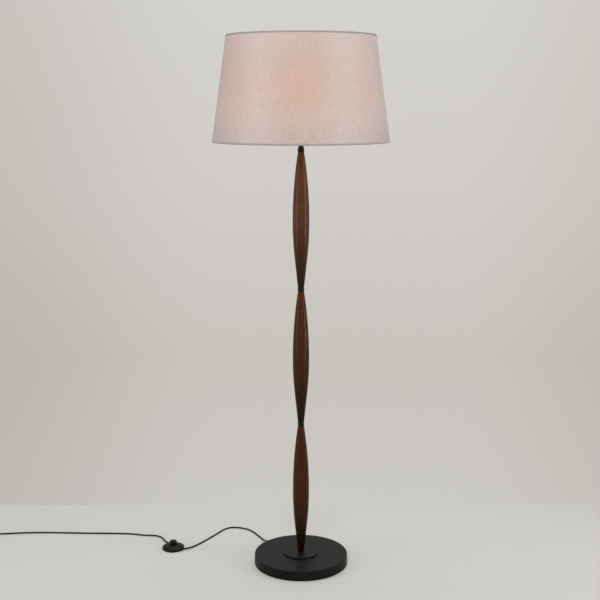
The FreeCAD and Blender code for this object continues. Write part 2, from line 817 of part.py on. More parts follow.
# ---- Foot switch -------------------------------------------------------------------------------
def entry_ends():
    """Where the flex meets the switch's collars, and the ways it leaves in."""
    middle = V(switch_x, switch_y, entry_height)
    outlet = middle + polar(entry_collar_reach, outlet_azimuth)
    inlet = middle + polar(entry_collar_reach, inlet_azimuth)
    return (inlet, polar(1, inlet_heading)), (outlet, polar(1, outlet_azimuth))


def make_switch():
    middle = V(switch_x, switch_y, 0)
    x, y = switch_x, switch_y
    inner_wall = switch_radius - switch_wall
    collar_radius = button_radius + button_clearance
    dome_edge = (switch_radius - 2.0, switch_rim_height + 2.0)
    collar_foot = (button_radius + 1.8, switch_dome_height)
    outer_through = (
        (dome_edge[0] + collar_foot[0]) / 2 + 0.6,
        (dome_edge[1] + collar_foot[1]) / 2 + 1.0,
    )
    inner_edge = (dome_edge[0] - 0.8, dome_edge[1] - switch_wall)
    inner_top = (collar_radius, switch_dome_height - switch_wall)
    inner_through = (outer_through[0] - 0.5, outer_through[1] - switch_wall)
    cover = turned(
        (switch_radius, switch_floor),
        (switch_radius, switch_rim_height),
        quarter((switch_radius, switch_rim_height), dome_edge, "upright"),
        (outer_through, collar_foot),
        (collar_foot[0], collar_foot[1] + 0.8),
        (collar_radius, collar_foot[1] + 0.8),
        inner_top,
        (inner_through, inner_edge),
        (inner_wall, switch_rim_height - 1.0),
        (inner_wall, switch_floor),
    )
    cover.translate(middle)

    boss_distance = 24.0
    boss_top = 9.0
    screw_spots = [middle + polar(boss_distance, outlet_azimuth - 76 + 180 * k) for k in range(2)]
    for spot in screw_spots:
        cover = cover.fuse(disc(3.0, switch_base_top, boss_top, spot.x, spot.y))
    tails = []
    tail_length = 11.0
    for end, way in entry_ends():
        cover = cover.fuse(rod(end - way * 6.5, end, entry_collar_radius))
        cover = cover.cut(rod(end - way * (tail_length + 2), end + way, flex_radius + 0.15))
        tails.append(rod(end - way * tail_length, end, flex_radius))
    for spot in screw_spots:
        cover = cover.cut(disc(1.2, switch_base_top - 1, boss_top - 1.2, spot.x, spot.y))
    pieces["switch_cover"] = cover
    pieces["switch_tails"] = Part.makeCompound(tails)

    base_radius_inside = inner_wall - 0.3
    base = disc(base_radius_inside, switch_floor, switch_base_top, x, y)
    seat = sleeve(spring_radius + 1.0, spring_radius - 1.0, switch_base_top, switch_base_top + 1.2, x, y)
    leaf_way = outlet_azimuth + 30
    slot = block(middle, 24.0, 5.6, switch_base_top - 1, switch_base_top + 3, leaf_way)
    post = disc(1.5, switch_base_top, switch_base_top + 3.2, x, y)
    base = base.fuse(seat.cut(slot)).fuse(post)
    feet = []
    foot_recess = 0.3
    for k in range(4):
        spot = middle + polar(23.0, outlet_azimuth + 45 + 90 * k)
        base = base.cut(disc(4.1, 0, switch_floor + foot_recess, spot.x, spot.y))
        feet.append(disc(4.0, 0, switch_floor + foot_recess, spot.x, spot.y))
    screws = []
    for spot in screw_spots:
        base = base.cut(disc(1.4, 0, switch_base_top + 1, spot.x, spot.y))
        base = base.cut(disc(2.6, 0, switch_floor + 1.0, spot.x, spot.y))
        head = disc(2.4, switch_floor + 0.1, switch_floor + 1.0, spot.x, spot.y)
        screws.append(head.fuse(disc(1.1, switch_floor + 1.0, boss_top - 1.6, spot.x, spot.y)))
    for end, way in entry_ends():
        base = base.cut(rod(end - way * 7.0, end, entry_collar_radius + 0.2))
    pieces["switch_base"] = base
    pieces["switch_feet"] = Part.makeCompound(feet)
    pieces["switch_screws"] = Part.makeCompound(screws)

    # The button is a cap with a flange that stops against the cover, and a plunger inside it.
    button_wall = 1.5
    flange_top_height = switch_dome_height - switch_wall - 2 * body_gap
    flange_bottom = flange_top_height - 1.8
    flange_radius = button_radius + 1.6
    rotor_top = switch_base_top + 3.0
    plunger_bottom = rotor_top + button_travel + 0.5
    crown = 0.8
    button = turned(
        (0, button_top - 2.4),
        (0, button_top),
        (
            (button_radius / 2, button_top - crown / 4),
            (button_radius - 1.0, button_top - crown),
        ),
        quarter(
            (button_radius - 1.0, button_top - crown),
            (button_radius, button_top - crown - 1.0),
            "level",
        ),
        (button_radius, flange_top_height),
        (flange_radius, flange_top_height),
        (flange_radius, flange_bottom),
        (button_radius - button_wall, flange_bottom),
        (button_radius - button_wall, button_top - 2.4),
    )
    button = button.fuse(disc(2.4, plunger_bottom, button_top - 2.0))
    button.translate(middle)
    pieces["switch_button"] = button

    # The rotor is a small ratchet wheel that the plunger turns on its post.
    rotor_foot = switch_base_top + 1.0
    rotor = disc(4.6, rotor_foot, rotor_top)
    tooth_count = 8
    for k in range(tooth_count):
        begin = 360 / tooth_count * k
        tooth = [
            polar(4.0, begin, rotor_foot),
            polar(6.2, begin + 4, rotor_foot),
            polar(4.0, begin + 34, rotor_foot),
        ]
        tooth_face = Part.Face(Part.makePolygon(tooth + tooth[:1]))
        rotor = rotor.fuse(tooth_face.extrude(UP * (rotor_top - rotor_foot)))
    rotor = rotor.cut(disc(1.58, rotor_foot - 1, rotor_top + 1))
    rotor.translate(middle)
    pieces["switch_rotor"] = rotor

    contacts = []
    blocks = []
    for side in (0, 180):
        way = polar(1, leaf_way + side)
        leaf_middle = middle + way * 11.0
        contacts.append(
            block(leaf_middle, 14.0, 5.0, switch_base_top, switch_base_top + 0.5, leaf_way + side)
        )
        block_middle = middle + way * 18.2
        block_foot = switch_base_top + 0.5
        block_top = switch_base_top + 4.0
        body = block(block_middle, 6.0, 6.0, block_foot, block_top, leaf_way + side)
        screw = disc(1.8, block_top, block_top + 1.0, block_middle.x, block_middle.y)
        blocks.append(body.fuse(screw))
    pieces["switch_contacts"] = Part.makeCompound(contacts)
    pieces["switch_terminals"] = Part.makeCompound(blocks)

    # Return spring: its coils climb at a steady rate from the seat to the cap's ceiling.
    low = switch_base_top + 1.2 + spring_wire / 2 + 0.05
    high = button_top - 2.4 - spring_wire / 2 - 0.05

    def coil_point(turn):
        return middle + polar(spring_radius, 360 * turn, low + (high - low) * turn / spring_turns)

    edges, spots, ways = wound(coil_point, [k / 2 for k in range(2 * spring_turns + 1)])
    spring_path = Part.Wire(edges)
    pieces["switch_spring"] = faceted_pipe(spring_path, spots[0], ways[0], spring_wire / 2, 6)


# ---- Free flex, coil and plug ------------------------------------------------------------------
def coil_position(turn):
    """Where the flex is after that many turns: in, up a layer while it turns back, and out."""
    reverse = turn - coil_turns_in
    inner = coil_outer_radius - coil_pitch * coil_turns_in
    low, high = coil_lie, coil_lie + coil_layer_step
    if reverse <= 0:
        radius, z = coil_outer_radius - coil_pitch * turn, low
    elif reverse < 0.5:
        radius = inner - coil_pitch * (reverse - 2 * reverse**2)
        z = low + (high - low) * (1 - math.cos(2 * math.pi * reverse)) / 2
    else:
        radius, z = inner + coil_pitch * (reverse - 0.5), high
    return V(coil_x, coil_y, 0) + polar(radius, 90 + 360 * turn, z)


def least_gap(points, nearby):
    """Least clear distance of the winding to itself, leaving out what is near along it."""
    least = 1e9
    for i, p in enumerate(points):
        for q in points[i + nearby :]:
            least = min(least, (p - q).Length)
    return least - flex_diameter


def make_flex():
    (inlet, inlet_way), (outlet, outlet_way) = entry_ends()
    gland_way = polar(1, gland_azimuth)
    gland_tip = V(0, 0, gland_height) + gland_way * (base_radius + gland_length)
    f = floor_lie

    # Base to switch: out of the gland, down to the floor, round behind and back to the front.
    to_switch = [
        gland_tip,
        gland_tip + gland_way * 14,
        V(-121, 163, 5.4),
        V(-138, 199, f),
        V(-160, 241, f),
        V(-188, 260.5, f),
        V(-222, 267.5, f),
        V(-246, 252, f),
        V(-271, 205, f),
        V(-303, 151, f),
        V(-326, 117, f),
        V(-341.5, 96.5, 4.2),
        inlet + inlet_way * 10,
        inlet,
    ]
    pieces["flex_to_switch"] = free_flex("flex_to_switch", to_switch)

    # Switch to coil: back from the switch, one easy corner, then left across the floor.
    turns = coil_turns_in + 0.5 + coil_turns_out
    half_turns = [k / 2 for k in range(int(2 * turns) + 1)]
    edges, spots, ways = wound(coil_position, half_turns + [turns])
    coil_start = spots[0] - ways[0] * flex_diameter
    coil_end = spots[-1] + ways[-1] * flex_diameter
    to_coil = [
        outlet,
        outlet + outlet_way * 10,
        V(-428, 156, 3.6),
        V(-441, 186.5, f),
        V(-464, 199, f),
        V(-496, 199, f),
        V(-540, 212.5, f),
        V(-604, 215.5, f),
        V(-672, 216.5, f),
        V(-742, 219.5, f),
        V(-812, 223, f),
        V(-880, 220.5, f),
        V(-935, 213.2, 3.0),
        coil_start - ways[0] * 30,
        coil_start,
    ]
    pieces["flex_to_coil"] = free_flex("flex_to_coil", to_coil)

    lead_in = Part.LineSegment(coil_start, spots[0]).toShape()
    lead_out = Part.LineSegment(spots[-1], coil_end).toShape()
    path = Part.Wire([lead_in, *edges, lead_out])
    coil = pipe(path, coil_start, ways[0], flex_radius)
    pieces["flex_coil"] = coil
    samples = path.discretize(400)
    section = math.pi * flex_radius**2
    print(f"flex_coil: turns {turns}, length {path.Length:.1f}, least gap {least_gap(samples, 40):.2f}")
    print(f"flex_coil: volume / (section x length) {coil.Volume / section / path.Length:.4f}")

    # A flat band ties the turns together on the coil's right side.
    inner = coil_outer_radius - coil_pitch * coil_turns_in
    band_inner = inner - coil_pitch / 8 - flex_radius - 1.2
    band_outer = coil_outer_radius - coil_pitch * 0.75 + flex_radius + 0.6
    band_low = coil_lie - flex_radius - tie_clearance
    band_high = coil_lie + coil_layer_step + flex_radius + tie_clearance
    t = tie_thickness
    outside = Part.makeBox(
        band_outer - band_inner + 2 * t,
        tie_width,
        band_high - band_low + 2 * t,
        V(coil_x + band_inner - t, coil_y - tie_width / 2, band_low - t),
    )
    long_edges = [e for e in outside.Edges if abs(e.tangentAt(e.FirstParameter).y) > 0.99]
    outside = outside.makeFillet(1.5, long_edges)
    inside = Part.makeBox(
        band_outer - band_inner,
        tie_width + 2,
        band_high - band_low,
        V(coil_x + band_inner, coil_y - tie_width / 2 - 1, band_low),
    )
    long_edges = [e for e in inside.Edges if abs(e.tangentAt(e.FirstParameter).y) > 0.99]
    pieces["coil_tie"] = outside.cut(inside.makeFillet(0.8, long_edges))

    # Coil to plug: a short lead eases down to the plug's own height.
    plug_middle = plug_thickness / 2
    lead_way = ways[-1]
    boot_end = coil_end + lead_way * lead_length
    boot_end.z = plug_middle
    to_plug = [
        coil_end,
        coil_end + lead_way * (lead_length * 0.35),
        boot_end - lead_way * (lead_length * 0.35),
        boot_end,
    ]
    pieces["flex_to_plug"] = free_flex("flex_to_plug", to_plug)
    make_plug(boot_end, lead_way)


def make_plug(boot_end, way):
    """A flat two-pin plug that lies on the floor, its boot's end face to face with the flex."""
    half = plug_width / 2
    neck = plug_neck_width / 2
    front = plug_boot_length + plug_length
    rear = plug_boot_length
    outline = [
        V(-neck, 0, rear),
        V(-half, 0, rear + plug_length - plug_shoulder),
        V(-half, 0, front),
        V(half, 0, front),
        V(half, 0, rear + plug_length - plug_shoulder),
        V(neck, 0, rear),
    ]
    body = Part.Face(Part.makePolygon(outline + outline[:1])).extrude(V(0, plug_thickness, 0))
    body.translate(V(0, -plug_thickness / 2, 0))
    body = body.makeFillet(2.0, [e for e in body.Edges if e.BoundBox.ZMin < front - 0.1])
    bore = flex_radius + flex_clearance
    boot = turned(
        (bore, 0),
        (flex_radius + 1.1, 0),
        (flex_radius + 3.1, rear + 3.0),
        (bore, rear + 3.0),
    )
    body = body.fuse(boot)
    pins = []
    for side in (-1, 1):
        x = side * pin_spacing / 2
        tip = front + pin_length
        pins.append(
            turned(
                (0, front),
                (pin_diameter / 2, front),
                (pin_diameter / 2, tip - 1.5),
                quarter((pin_diameter / 2, tip - 1.5), (pin_diameter / 2 - 1.5, tip), "upright"),
                (0, tip),
            )
        )
        pins[-1].translate(V(x, 0, 0))
    # Local Z lies along the flex and local Y is up.
    across = way.cross(UP)
    frame = FreeCAD.Rotation(across, UP, way, "ZYX")
    place = FreeCAD.Placement(boot_end, frame)
    for name, shape in (("plug_body", body), ("plug_pins", Part.makeCompound(pins))):
        shape.Placement = place
        pieces[name] = shape


make_base()
make_stem()
make_holder()
make_bulb()
make_shade()
make_switch()
make_flex()

os.makedirs("parts", exist_ok=True)
for name, shape in pieces.items():
    solids = shape.Solids
    if not solids or not all(s.isValid() and s.isClosed() for s in solids):
        raise SystemExit(f"{name} isn't a sound solid")
    shape.exportStep(f"parts/{name}.step")
    box = shape.BoundBox
    volume = sum(s.Volume for s in solids)
    spans = f"x {box.XMin:8.1f} {box.XMax:8.1f} y {box.YMin:8.1f} {box.YMax:8.1f}"
    spans += f" z {box.ZMin:7.1f} {box.ZMax:7.1f}"
    print(f"{name:18s} solids {len(solids)} volume {volume:11.1f} {spans}")
print(f"{len(pieces)} pieces, total height {shade_top:.1f}")
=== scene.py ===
import math

import bpy
import numpy as np
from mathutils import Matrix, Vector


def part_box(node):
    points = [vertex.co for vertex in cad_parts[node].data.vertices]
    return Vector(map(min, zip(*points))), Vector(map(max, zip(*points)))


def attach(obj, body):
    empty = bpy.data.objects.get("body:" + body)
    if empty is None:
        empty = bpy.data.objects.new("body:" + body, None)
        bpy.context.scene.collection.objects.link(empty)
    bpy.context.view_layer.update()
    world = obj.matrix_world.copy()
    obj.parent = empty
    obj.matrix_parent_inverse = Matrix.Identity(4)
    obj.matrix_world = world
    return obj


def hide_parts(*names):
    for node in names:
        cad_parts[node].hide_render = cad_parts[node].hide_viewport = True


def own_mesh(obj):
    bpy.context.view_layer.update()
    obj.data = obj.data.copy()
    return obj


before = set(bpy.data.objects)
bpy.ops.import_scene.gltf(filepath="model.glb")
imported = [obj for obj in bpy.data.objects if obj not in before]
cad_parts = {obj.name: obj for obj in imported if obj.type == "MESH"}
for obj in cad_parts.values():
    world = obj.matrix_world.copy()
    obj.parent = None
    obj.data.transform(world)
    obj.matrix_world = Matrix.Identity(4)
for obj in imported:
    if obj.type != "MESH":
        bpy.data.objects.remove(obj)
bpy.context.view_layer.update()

# ---- Camera: the photograph's own place, tilt and lens ------------------------------------------
CAMERA_PLACE = (-0.00287, -3.1705, 1.3746)
CAMERA_TILT_DOWN = math.radians(8.76)
CAMERA_LENS = 66.85
HORIZON_BEHIND = 0.473  # where the floor turns into the backdrop, behind the stem

camera = bpy.data.objects.new("camera", bpy.data.cameras.new("camera"))
camera.location = CAMERA_PLACE
camera.rotation_euler = (math.pi / 2 - CAMERA_TILT_DOWN, 0, 0)
camera.data.sensor_width = 36
camera.data.lens = CAMERA_LENS
camera.data.shift_y = -0.05
bpy.context.scene.collection.objects.link(camera)
bpy.context.scene.camera = camera

# ---- Flex: the same route points as the model's, in metres -------------------------------------
FLEX = 0.005
LIE = 0.0026  # centre height of flex that lies on the floor
BASE_RADIUS = 0.138
GLAND_TIP_RADIUS = BASE_RADIUS + 0.026
GLAND_AZIMUTH = math.radians(128)
SWITCH = np.array([-0.394, 0.100, 0.0058])
COLLAR_REACH = 0.0355
OUTLET_AZIMUTH = math.radians(124)
INLET_AZIMUTH = math.radians(-29)
INLET_HEADING = math.radians(25)
COIL = np.array([-1.006, 0.174, 0.0])
COIL_RADIUS = 0.034
COIL_PITCH = 0.0057
COIL_LIE = 0.0034
COIL_LAYER = 0.0056
COIL_TURNS_IN = 2.0
COIL_TURNS_OUT = 1.75
LEAD = 0.032
PLUG_HEIGHT = 0.00685


def way(azimuth):
    """The level direction at that azimuth."""
    return np.array([math.cos(azimuth), math.sin(azimuth), 0.0])


def coil_line(turn):
    """Points of the coil: radius shrinks by the pitch each turn until the winding turns back,
    the line climbs one layer in the next half turn as a raised cosine, then the radius grows."""
    back = turn - COIL_TURNS_IN
    inner = COIL_RADIUS - COIL_PITCH * COIL_TURNS_IN
    climb = np.clip(back, 0, 0.5)
    radius = np.where(back <= 0, COIL_RADIUS - COIL_PITCH * turn, inner)
    radius = radius - COIL_PITCH * (climb - 2 * climb**2) + COIL_PITCH * np.clip(back - 0.5, 0, None)
    height = COIL_LIE + COIL_LAYER * (1 - np.cos(2 * np.pi * climb)) / 2
    angle = np.pi / 2 + 2 * np.pi * turn
    return COIL + np.stack([radius * np.cos(angle), radius * np.sin(angle), height], -1)


def soft_line(name, points, diameter):
    """A round flex along a smooth line that has the route's points as its control points."""
    curve = bpy.data.curves.new(name, "CURVE")
    curve.dimensions = "3D"
    curve.bevel_depth = diameter / 2
    curve.bevel_resolution = 5
    curve.use_fill_caps = True
    spline = curve.splines.new("NURBS")
    spline.points.add(len(points) - 1)
    spline.points.foreach_set("co", np.column_stack([points, np.ones(len(points))]).ravel())
    spline.order_u = 3
    spline.use_endpoint_u = True
    spline.resolution_u = 8
    piece = bpy.data.objects.new(name, curve)
    bpy.context.scene.collection.objects.link(piece)
    return piece


gland_tip = way(GLAND_AZIMUTH) * GLAND_TIP_RADIUS + [0, 0, 0.010]
inlet = SWITCH + way(INLET_AZIMUTH) * COLLAR_REACH
outlet = SWITCH + way(OUTLET_AZIMUTH) * COLLAR_REACH

to_switch = [
    gland_tip,
    gland_tip + way(GLAND_AZIMUTH) * 0.012,
    (-0.1165, 0.156, 0.0036),
    (-0.136, 0.199, LIE),
    (-0.160, 0.241, LIE),
    (-0.188, 0.2605, LIE),
    (-0.222, 0.2675, LIE),
    (-0.246, 0.252, LIE),
    (-0.271, 0.205, LIE),
    (-0.303, 0.151, LIE),
    (-0.326, 0.117, LIE),
    (-0.3415, 0.0965, 0.0042),
    inlet + way(INLET_HEADING) * 0.010,
    inlet,
]
flex_to_switch = soft_line("flex_base_to_switch", to_switch, FLEX)

coil_turns = COIL_TURNS_IN + 0.5 + COIL_TURNS_OUT
coil_points = coil_line(np.arange(0, coil_turns + 0.01, 1 / 16))
coil_start = coil_points[0] + [FLEX, 0, 0]
coil_end = coil_points[-1] + [0, -FLEX, 0]
boot_end = np.array([coil_end[0], coil_end[1] - LEAD, PLUG_HEIGHT])
to_plug = [
    outlet,
    outlet + way(OUTLET_AZIMUTH) * 0.010,
    (-0.428, 0.156, 0.0036),
    (-0.441, 0.1865, LIE),
    (-0.464, 0.199, LIE),
    (-0.496, 0.199, LIE),
    (-0.540, 0.2125, LIE),
    (-0.604, 0.2155, LIE),
    (-0.672, 0.2165, LIE),
    (-0.742, 0.2195, LIE),
    (-0.812, 0.223, LIE),
    (-0.880, 0.2205, LIE),
    (-0.935, 0.2132, 0.0030),
    coil_start + [0.030, 0, 0],
    coil_start,
    *coil_points,
    coil_end,
    coil_end + [0, -0.35 * LEAD, 0],
    boot_end + [0, 0.35 * LEAD, 0],
    boot_end,
]
flex_to_plug = soft_line("flex_switch_to_plug", to_plug, FLEX)


# ---- Finishes ----------------------------------------------------------------------------------
def shade_of(red, green, blue):
    """A colour as a screen shows it, from 0 to 255, turned into the renderer's linear values."""
    values = np.array([red, green, blue]) / 255
    linear = np.where(values <= 0.04045, values / 12.92, ((values + 0.055) / 1.055) ** 2.4)
    return (*linear.tolist(), 1.0)


class Field:
    """A number that varies over a surface. Sums and products of fields become Math nodes."""

    def __init__(self, finish, socket):
        self.finish = finish
        self.socket = socket

    def _with(self, operation, *values):
        return self.finish.add("ShaderNodeMath", {"operation": operation}, dict(enumerate(values)))

    def __add__(self, other):
        return self._with("ADD", self, other)

    def __radd__(self, other):
        return self._with("ADD", other, self)

    def __sub__(self, other):
        return self._with("SUBTRACT", self, other)

    def __rsub__(self, other):
        return self._with("SUBTRACT", other, self)

    def __mul__(self, other):
        return self._with("MULTIPLY", self, other)

    def __rmul__(self, other):
        return self._with("MULTIPLY", other, self)

    def __truediv__(self, other):
        return self._with("DIVIDE", self, other)

    def __pow__(self, other):
        return self._with("POWER", self, other)


class Finish:
    """A material: one Principled shader and the nodes that feed it."""

    def __init__(self, name, **sockets):
        self.material = bpy.data.materials.new(name)
        self.material.use_nodes = True
        self.tree = self.material.node_tree
        self.shader = self.tree.nodes["Principled BSDF"]
        self.place = self.add("ShaderNodeTexCoord", output="Object")
        for socket, value in sockets.items():
            self.feed(socket.replace("_", " ").title().replace("Ior", "IOR"), value)

    def add(self, kind, settings=None, inputs=None, output=0):
        """Any node: its settings, then the values or links of its sockets, then one output."""
        node = self.tree.nodes.new(kind)
        for setting, value in (settings or {}).items():
            setattr(node, setting, value)
        for socket, value in (inputs or {}).items():
            self._plug(node.inputs[socket], value)
        return Field(self, node.outputs[output])

    def _plug(self, socket, value):
        if isinstance(value, Field):
            self.tree.links.new(value.socket, socket)
        else:
            socket.default_value = value

    def feed(self, socket, value):
        self._plug(self.shader.inputs[socket], value)

    def axes(self, vector=None):
        """The three numbers of a place."""
        node = self.tree.nodes.new("ShaderNodeSeparateXYZ")
        self._plug(node.inputs[0], vector or self.place)
        return [Field(self, out) for out in node.outputs]

    def vector(self, x, y, z):
        return self.add("ShaderNodeCombineXYZ", inputs={0: x, 1: y, 2: z})

    def stretched(self, x, y, z, vector=None):
        """The place with its axes stretched, so that a pattern runs along one of them."""
        inputs = {0: vector or self.place, 1: (x, y, z)}
        return self.add("ShaderNodeVectorMath", {"operation": "MULTIPLY"}, inputs)

    def noise(self, scale, detail=3, roughness=0.5, vector=None):
        inputs = {"Vector": vector or self.place, "Scale": scale}
        inputs |= {"Detail": detail, "Roughness": roughness}
        return self.add("ShaderNodeTexNoise", inputs=inputs)

    def spots(self, scale, vector=None):
        """Distance to the nearest of many scattered points."""
        inputs = {"Vector": vector or self.place, "Scale": scale}
        return self.add("ShaderNodeTexVoronoi", inputs=inputs)

    def eased(self, value, low, high, to_low=0.0, to_high=1.0):
        """A smooth step from one value to another between two limits."""
        inputs = {0: value, 1: low, 2: high, 3: to_low, 4: to_high}
        return self.add("ShaderNodeMapRange", {"interpolation_type": "SMOOTHSTEP"}, inputs)

    def limited(self, value):
        """The value, held between 0 and 1."""
        return self.add("ShaderNodeClamp", inputs={0: value})

    def of(self, operation, value):
        """A Math node with one input, such as SINE."""
        return self.add("ShaderNodeMath", {"operation": operation}, {0: value})

    def bell(self, squared):
        """A bell curve of a distance, from its square: 1 in the middle and 0 far out."""
        return self.of("EXPONENT", squared * -0.7)

    def blend(self, share, first, second):
        """A colour between two colours."""
        node = self.tree.nodes.new("ShaderNodeMix")
        node.data_type = "RGBA"
        for socket, value in ((0, share), (6, first), (7, second)):
            self._plug(node.inputs[socket], value)
        return Field(self, node.outputs[2])

    def relief(self, height, distance, strength=1.0, under=None):
        """A surface relief of that depth in metres, on top of another one if there is one."""
        inputs = {"Height": height, "Distance": distance, "Strength": strength}
        if under is not None:
            inputs["Normal"] = under
        return self.add("ShaderNodeBump", inputs=inputs)

    def put_on(self, *names):
        for name in names:
            piece = bpy.data.objects[name]
            piece.data.materials.clear()
            piece.data.materials.append(self.material)


def powder_coat():
    """Satin black powder coat: orange peel, paler dust in the hollows of a faint mottle."""
    f = Finish("black_powder_coat", specular_ior_level=0.12)
    peel = f.noise(900, 2)
    mottle = f.noise(14, 4)
    scuff = f.eased(f.noise(60, 5, 0.7), 0.62, 0.72)
    dust = f.eased(f.noise(210, 2), 0.66, 0.74)
    colour = f.blend(mottle, shade_of(14, 13, 13), shade_of(24, 23, 22))
    f.feed("Base Color", f.blend(dust * 0.25, colour, shade_of(72, 70, 66)))
    f.feed("Roughness", 0.42 + mottle * 0.12 + scuff * 0.08)
    f.feed("Normal", f.relief(peel, 0.00012, 0.5))
    return f


def black_lacquer():
    """Satin black lacquer of the rings and the neck, with fine turning lines round them."""
    f = Finish("black_lacquer", specular_ior_level=0.2)
    _, _, z = f.axes()
    lines = f.noise(1.0, 2, 0.6, f.vector(0.0, 0.0, z * 2600))
    mottle = f.noise(40, 3)
    f.feed("Base Color", f.blend(mottle, shade_of(7, 6, 6), shade_of(15, 14, 13)))
    f.feed("Roughness", 0.28 + mottle * 0.14)
    f.feed("Normal", f.relief(lines, 0.00006, 0.4))
    return f


def stained_wood(node, pale, deep, shift):
    """Stained wood turned from a squared length. The growth rings are cylinders round a pith
    that lies outside the blank, so on the turned face they draw long ovals. Pores are short
    dark dashes along the grain, painted shade darkens each spindle towards its lower end,
    and a thin varnish lies over all."""
    name = node.replace("spindle", "wood")
    foot, top = (corner[2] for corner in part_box(node))
    f = Finish(name, coat_roughness=0.22, coat_ior=1.4, specular_ior_level=0.06, metallic=0.36)
    x, y, z = f.axes()
    pith_x, pith_y = -0.034, 0.016
    ring_rate = 1250  # radians of the rings' wave in a metre
    sway = (f.noise(3.2, 2, 0.5, f.stretched(1, 1, 0.6)) - 0.5) * 0.011
    dx = x - pith_x + sway + z * shift
    dy = y - pith_y + sway * 0.7
    from_pith = (dx * dx + dy * dy) ** 0.5
    ripple = f.noise(1.0, 3, 0.6, f.stretched(340, 340, 7)) * 0.0022
    ring = f.of("SINE", (from_pith + ripple) * ring_rate)
    late = f.eased(ring, 0.1, 1.0)
    fibre = f.noise(1.0, 4, 0.65, f.stretched(900, 900, 16))
    pore_place = f.stretched(1, 1, 0.045)
    pores = f.eased(f.spots(720, pore_place), 0.16, 0.34, 1.0, 0.0)
    cloud = f.noise(1.0, 3, 0.5, f.stretched(30, 30, 5))
    grain = 0.34 * late + 0.36 * f.eased(fibre, 0.3, 0.7) + 0.3 * cloud
    # Painted shade: the colour darkens towards each spindle's lower end, fading out 62 % of the way up.
    foot_shade_top = foot + 0.62 * (top - foot)
    painted_foot_shade = f.eased(z, foot - 0.02, foot_shade_top, 0.82, 0.0)
    colour = f.blend(grain, shade_of(*pale), shade_of(*deep))
    dark = shade_of(*(0.4 * c for c in deep))
    f.feed("Base Color", f.blend(f.limited(pores * 0.55 + painted_foot_shade), colour, dark))
    f.feed("Roughness", 0.3 + fibre * 0.16 + pores * 0.1)
    f.feed("Coat Weight", 0.12 + cloud * 0.12)
    f.feed("Normal", f.relief(fibre * 0.6 - pores * 0.7, 0.00012, 0.5))
    return f


def linen():
    """Plain-weave linen, warp up the shade and weft round it. Threads are half waves across the
    cloth's own map, which is in metres, with slubs where a thread runs thick for a way. The
    lamp's glow is painted on as warm patches, with a faint pale painted highlight to each side
    of the middle one, and painted shade darkens the cloth towards its lower edge."""
    f = Finish("linen", specular_ior_level=0.45)
    cloth = f.add("ShaderNodeUVMap", {"uv_map": "cloth"})
    round_about, up, _ = f.axes(cloth)
    thread_wave = 2 * math.pi / 0.0011
    warp_slub = f.noise(1.0, 3, 0.6, f.vector(round_about * 700, up * 26, 1.0))
    weft_slub = f.noise(1.0, 3, 0.6, f.vector(round_about * 26, up * 700, 5.0))
    wander = (f.noise(60, 2, 0.5, f.vector(round_about, up, 0.0)) - 0.5) * 0.0007
    warp_wave = f.of("SINE", (round_about + wander) * thread_wave)
    weft_wave = f.of("SINE", (up + wander) * thread_wave)
    weave = warp_wave * weft_wave * 0.5 + 0.5
    slub = warp_slub * 0.5 + weft_slub * 0.5
    mottle = f.noise(11, 3, 0.5, f.vector(round_about, up, 3.0))
    x, _, z = f.axes()
    glow = lamp_glow(f, x, z)
    # Painted highlight: a pale cool emission band to each side of the middle, standing in for the side
    # lamps' sheen.
    highlight_place, highlight_width = 0.118, 0.062
    beside = (f.of("ABSOLUTE", x) - highlight_place) * (1 / highlight_width)
    shoulder = f.bell(beside * beside)
    # Painted shade: the cloth turns darker towards its lower edge, over its lowest 9 cm.
    low = f.eased(z, SHADE_LOW + 0.01, SHADE_LOW + 0.09, 1.0, 0.0)
    pale = f.blend(glow, shade_of(230, 214, 209), shade_of(228, 193, 176))
    deep = f.blend(glow, shade_of(194, 179, 176), shade_of(197, 163, 147))
    share = f.eased(slub, 0.36, 0.66) * 0.55 + weave * 0.24 + mottle * 0.24 + low * 0.26 - 0.04
    f.feed("Base Color", f.blend(share, pale, deep))
    f.feed("Roughness", 0.5 + slub * 0.15)
    lit = f.blend(shoulder, shade_of(20, 14, 12), shade_of(98, 84, 85))
    f.feed("Emission Color", f.blend(glow, lit, shade_of(84, 50, 36)))
    f.feed("Emission Strength", 0.6)
    f.feed("Normal", f.relief(weave * 0.5 + slub, 0.00035, 0.55))
    return f


GLOW_HEIGHT = 1.412
GLOWS = (  # middle, half width, half height, weight
    (0.0, 0.080, 0.115, 0.9),
    (-0.176, 0.036, 0.100, 0.55),
    (0.170, 0.034, 0.110, 0.35),
)


def lamp_glow(f, x, z):
    """How much of the bulb shows through: one round patch in the middle and a fainter tall one
    to each side, all at the bulb's height, from where they fade as bell curves."""
    height = z - GLOW_HEIGHT
    total = None
    for middle, width, tall, weight in GLOWS:
        across = (x - middle) * (1 / width)
        along = height * (1 / tall)
        fall = across * across + along * along
        patch = f.bell(fall) * weight
        total = patch if total is None else total + patch
    return total


def trim_tape():
    """Woven binding tape: a fine rib across it, a little darker and cooler than the linen."""
    f = Finish("trim_tape", sheen_weight=0.3, specular_ior_level=0.2)
    tape = f.add("ShaderNodeUVMap", {"uv_map": "cloth"})
    along, across, _ = f.axes(tape)
    rib_wave = 2 * math.pi / 0.0009
    rib = f.of("SINE", along * rib_wave) * 0.5 + 0.5
    fuzz = f.noise(1.0, 3, 0.6, f.vector(along * 300, across * 900, 0.0))
    share = fuzz * 0.6 + rib * 0.25
    f.feed("Base Color", f.blend(share, shade_of(192, 187, 187), shade_of(160, 154, 155)))
    f.feed("Roughness", 0.8)
    f.feed("Normal", f.relief(rib + fuzz * 0.6, 0.0002, 0.5))
    return f


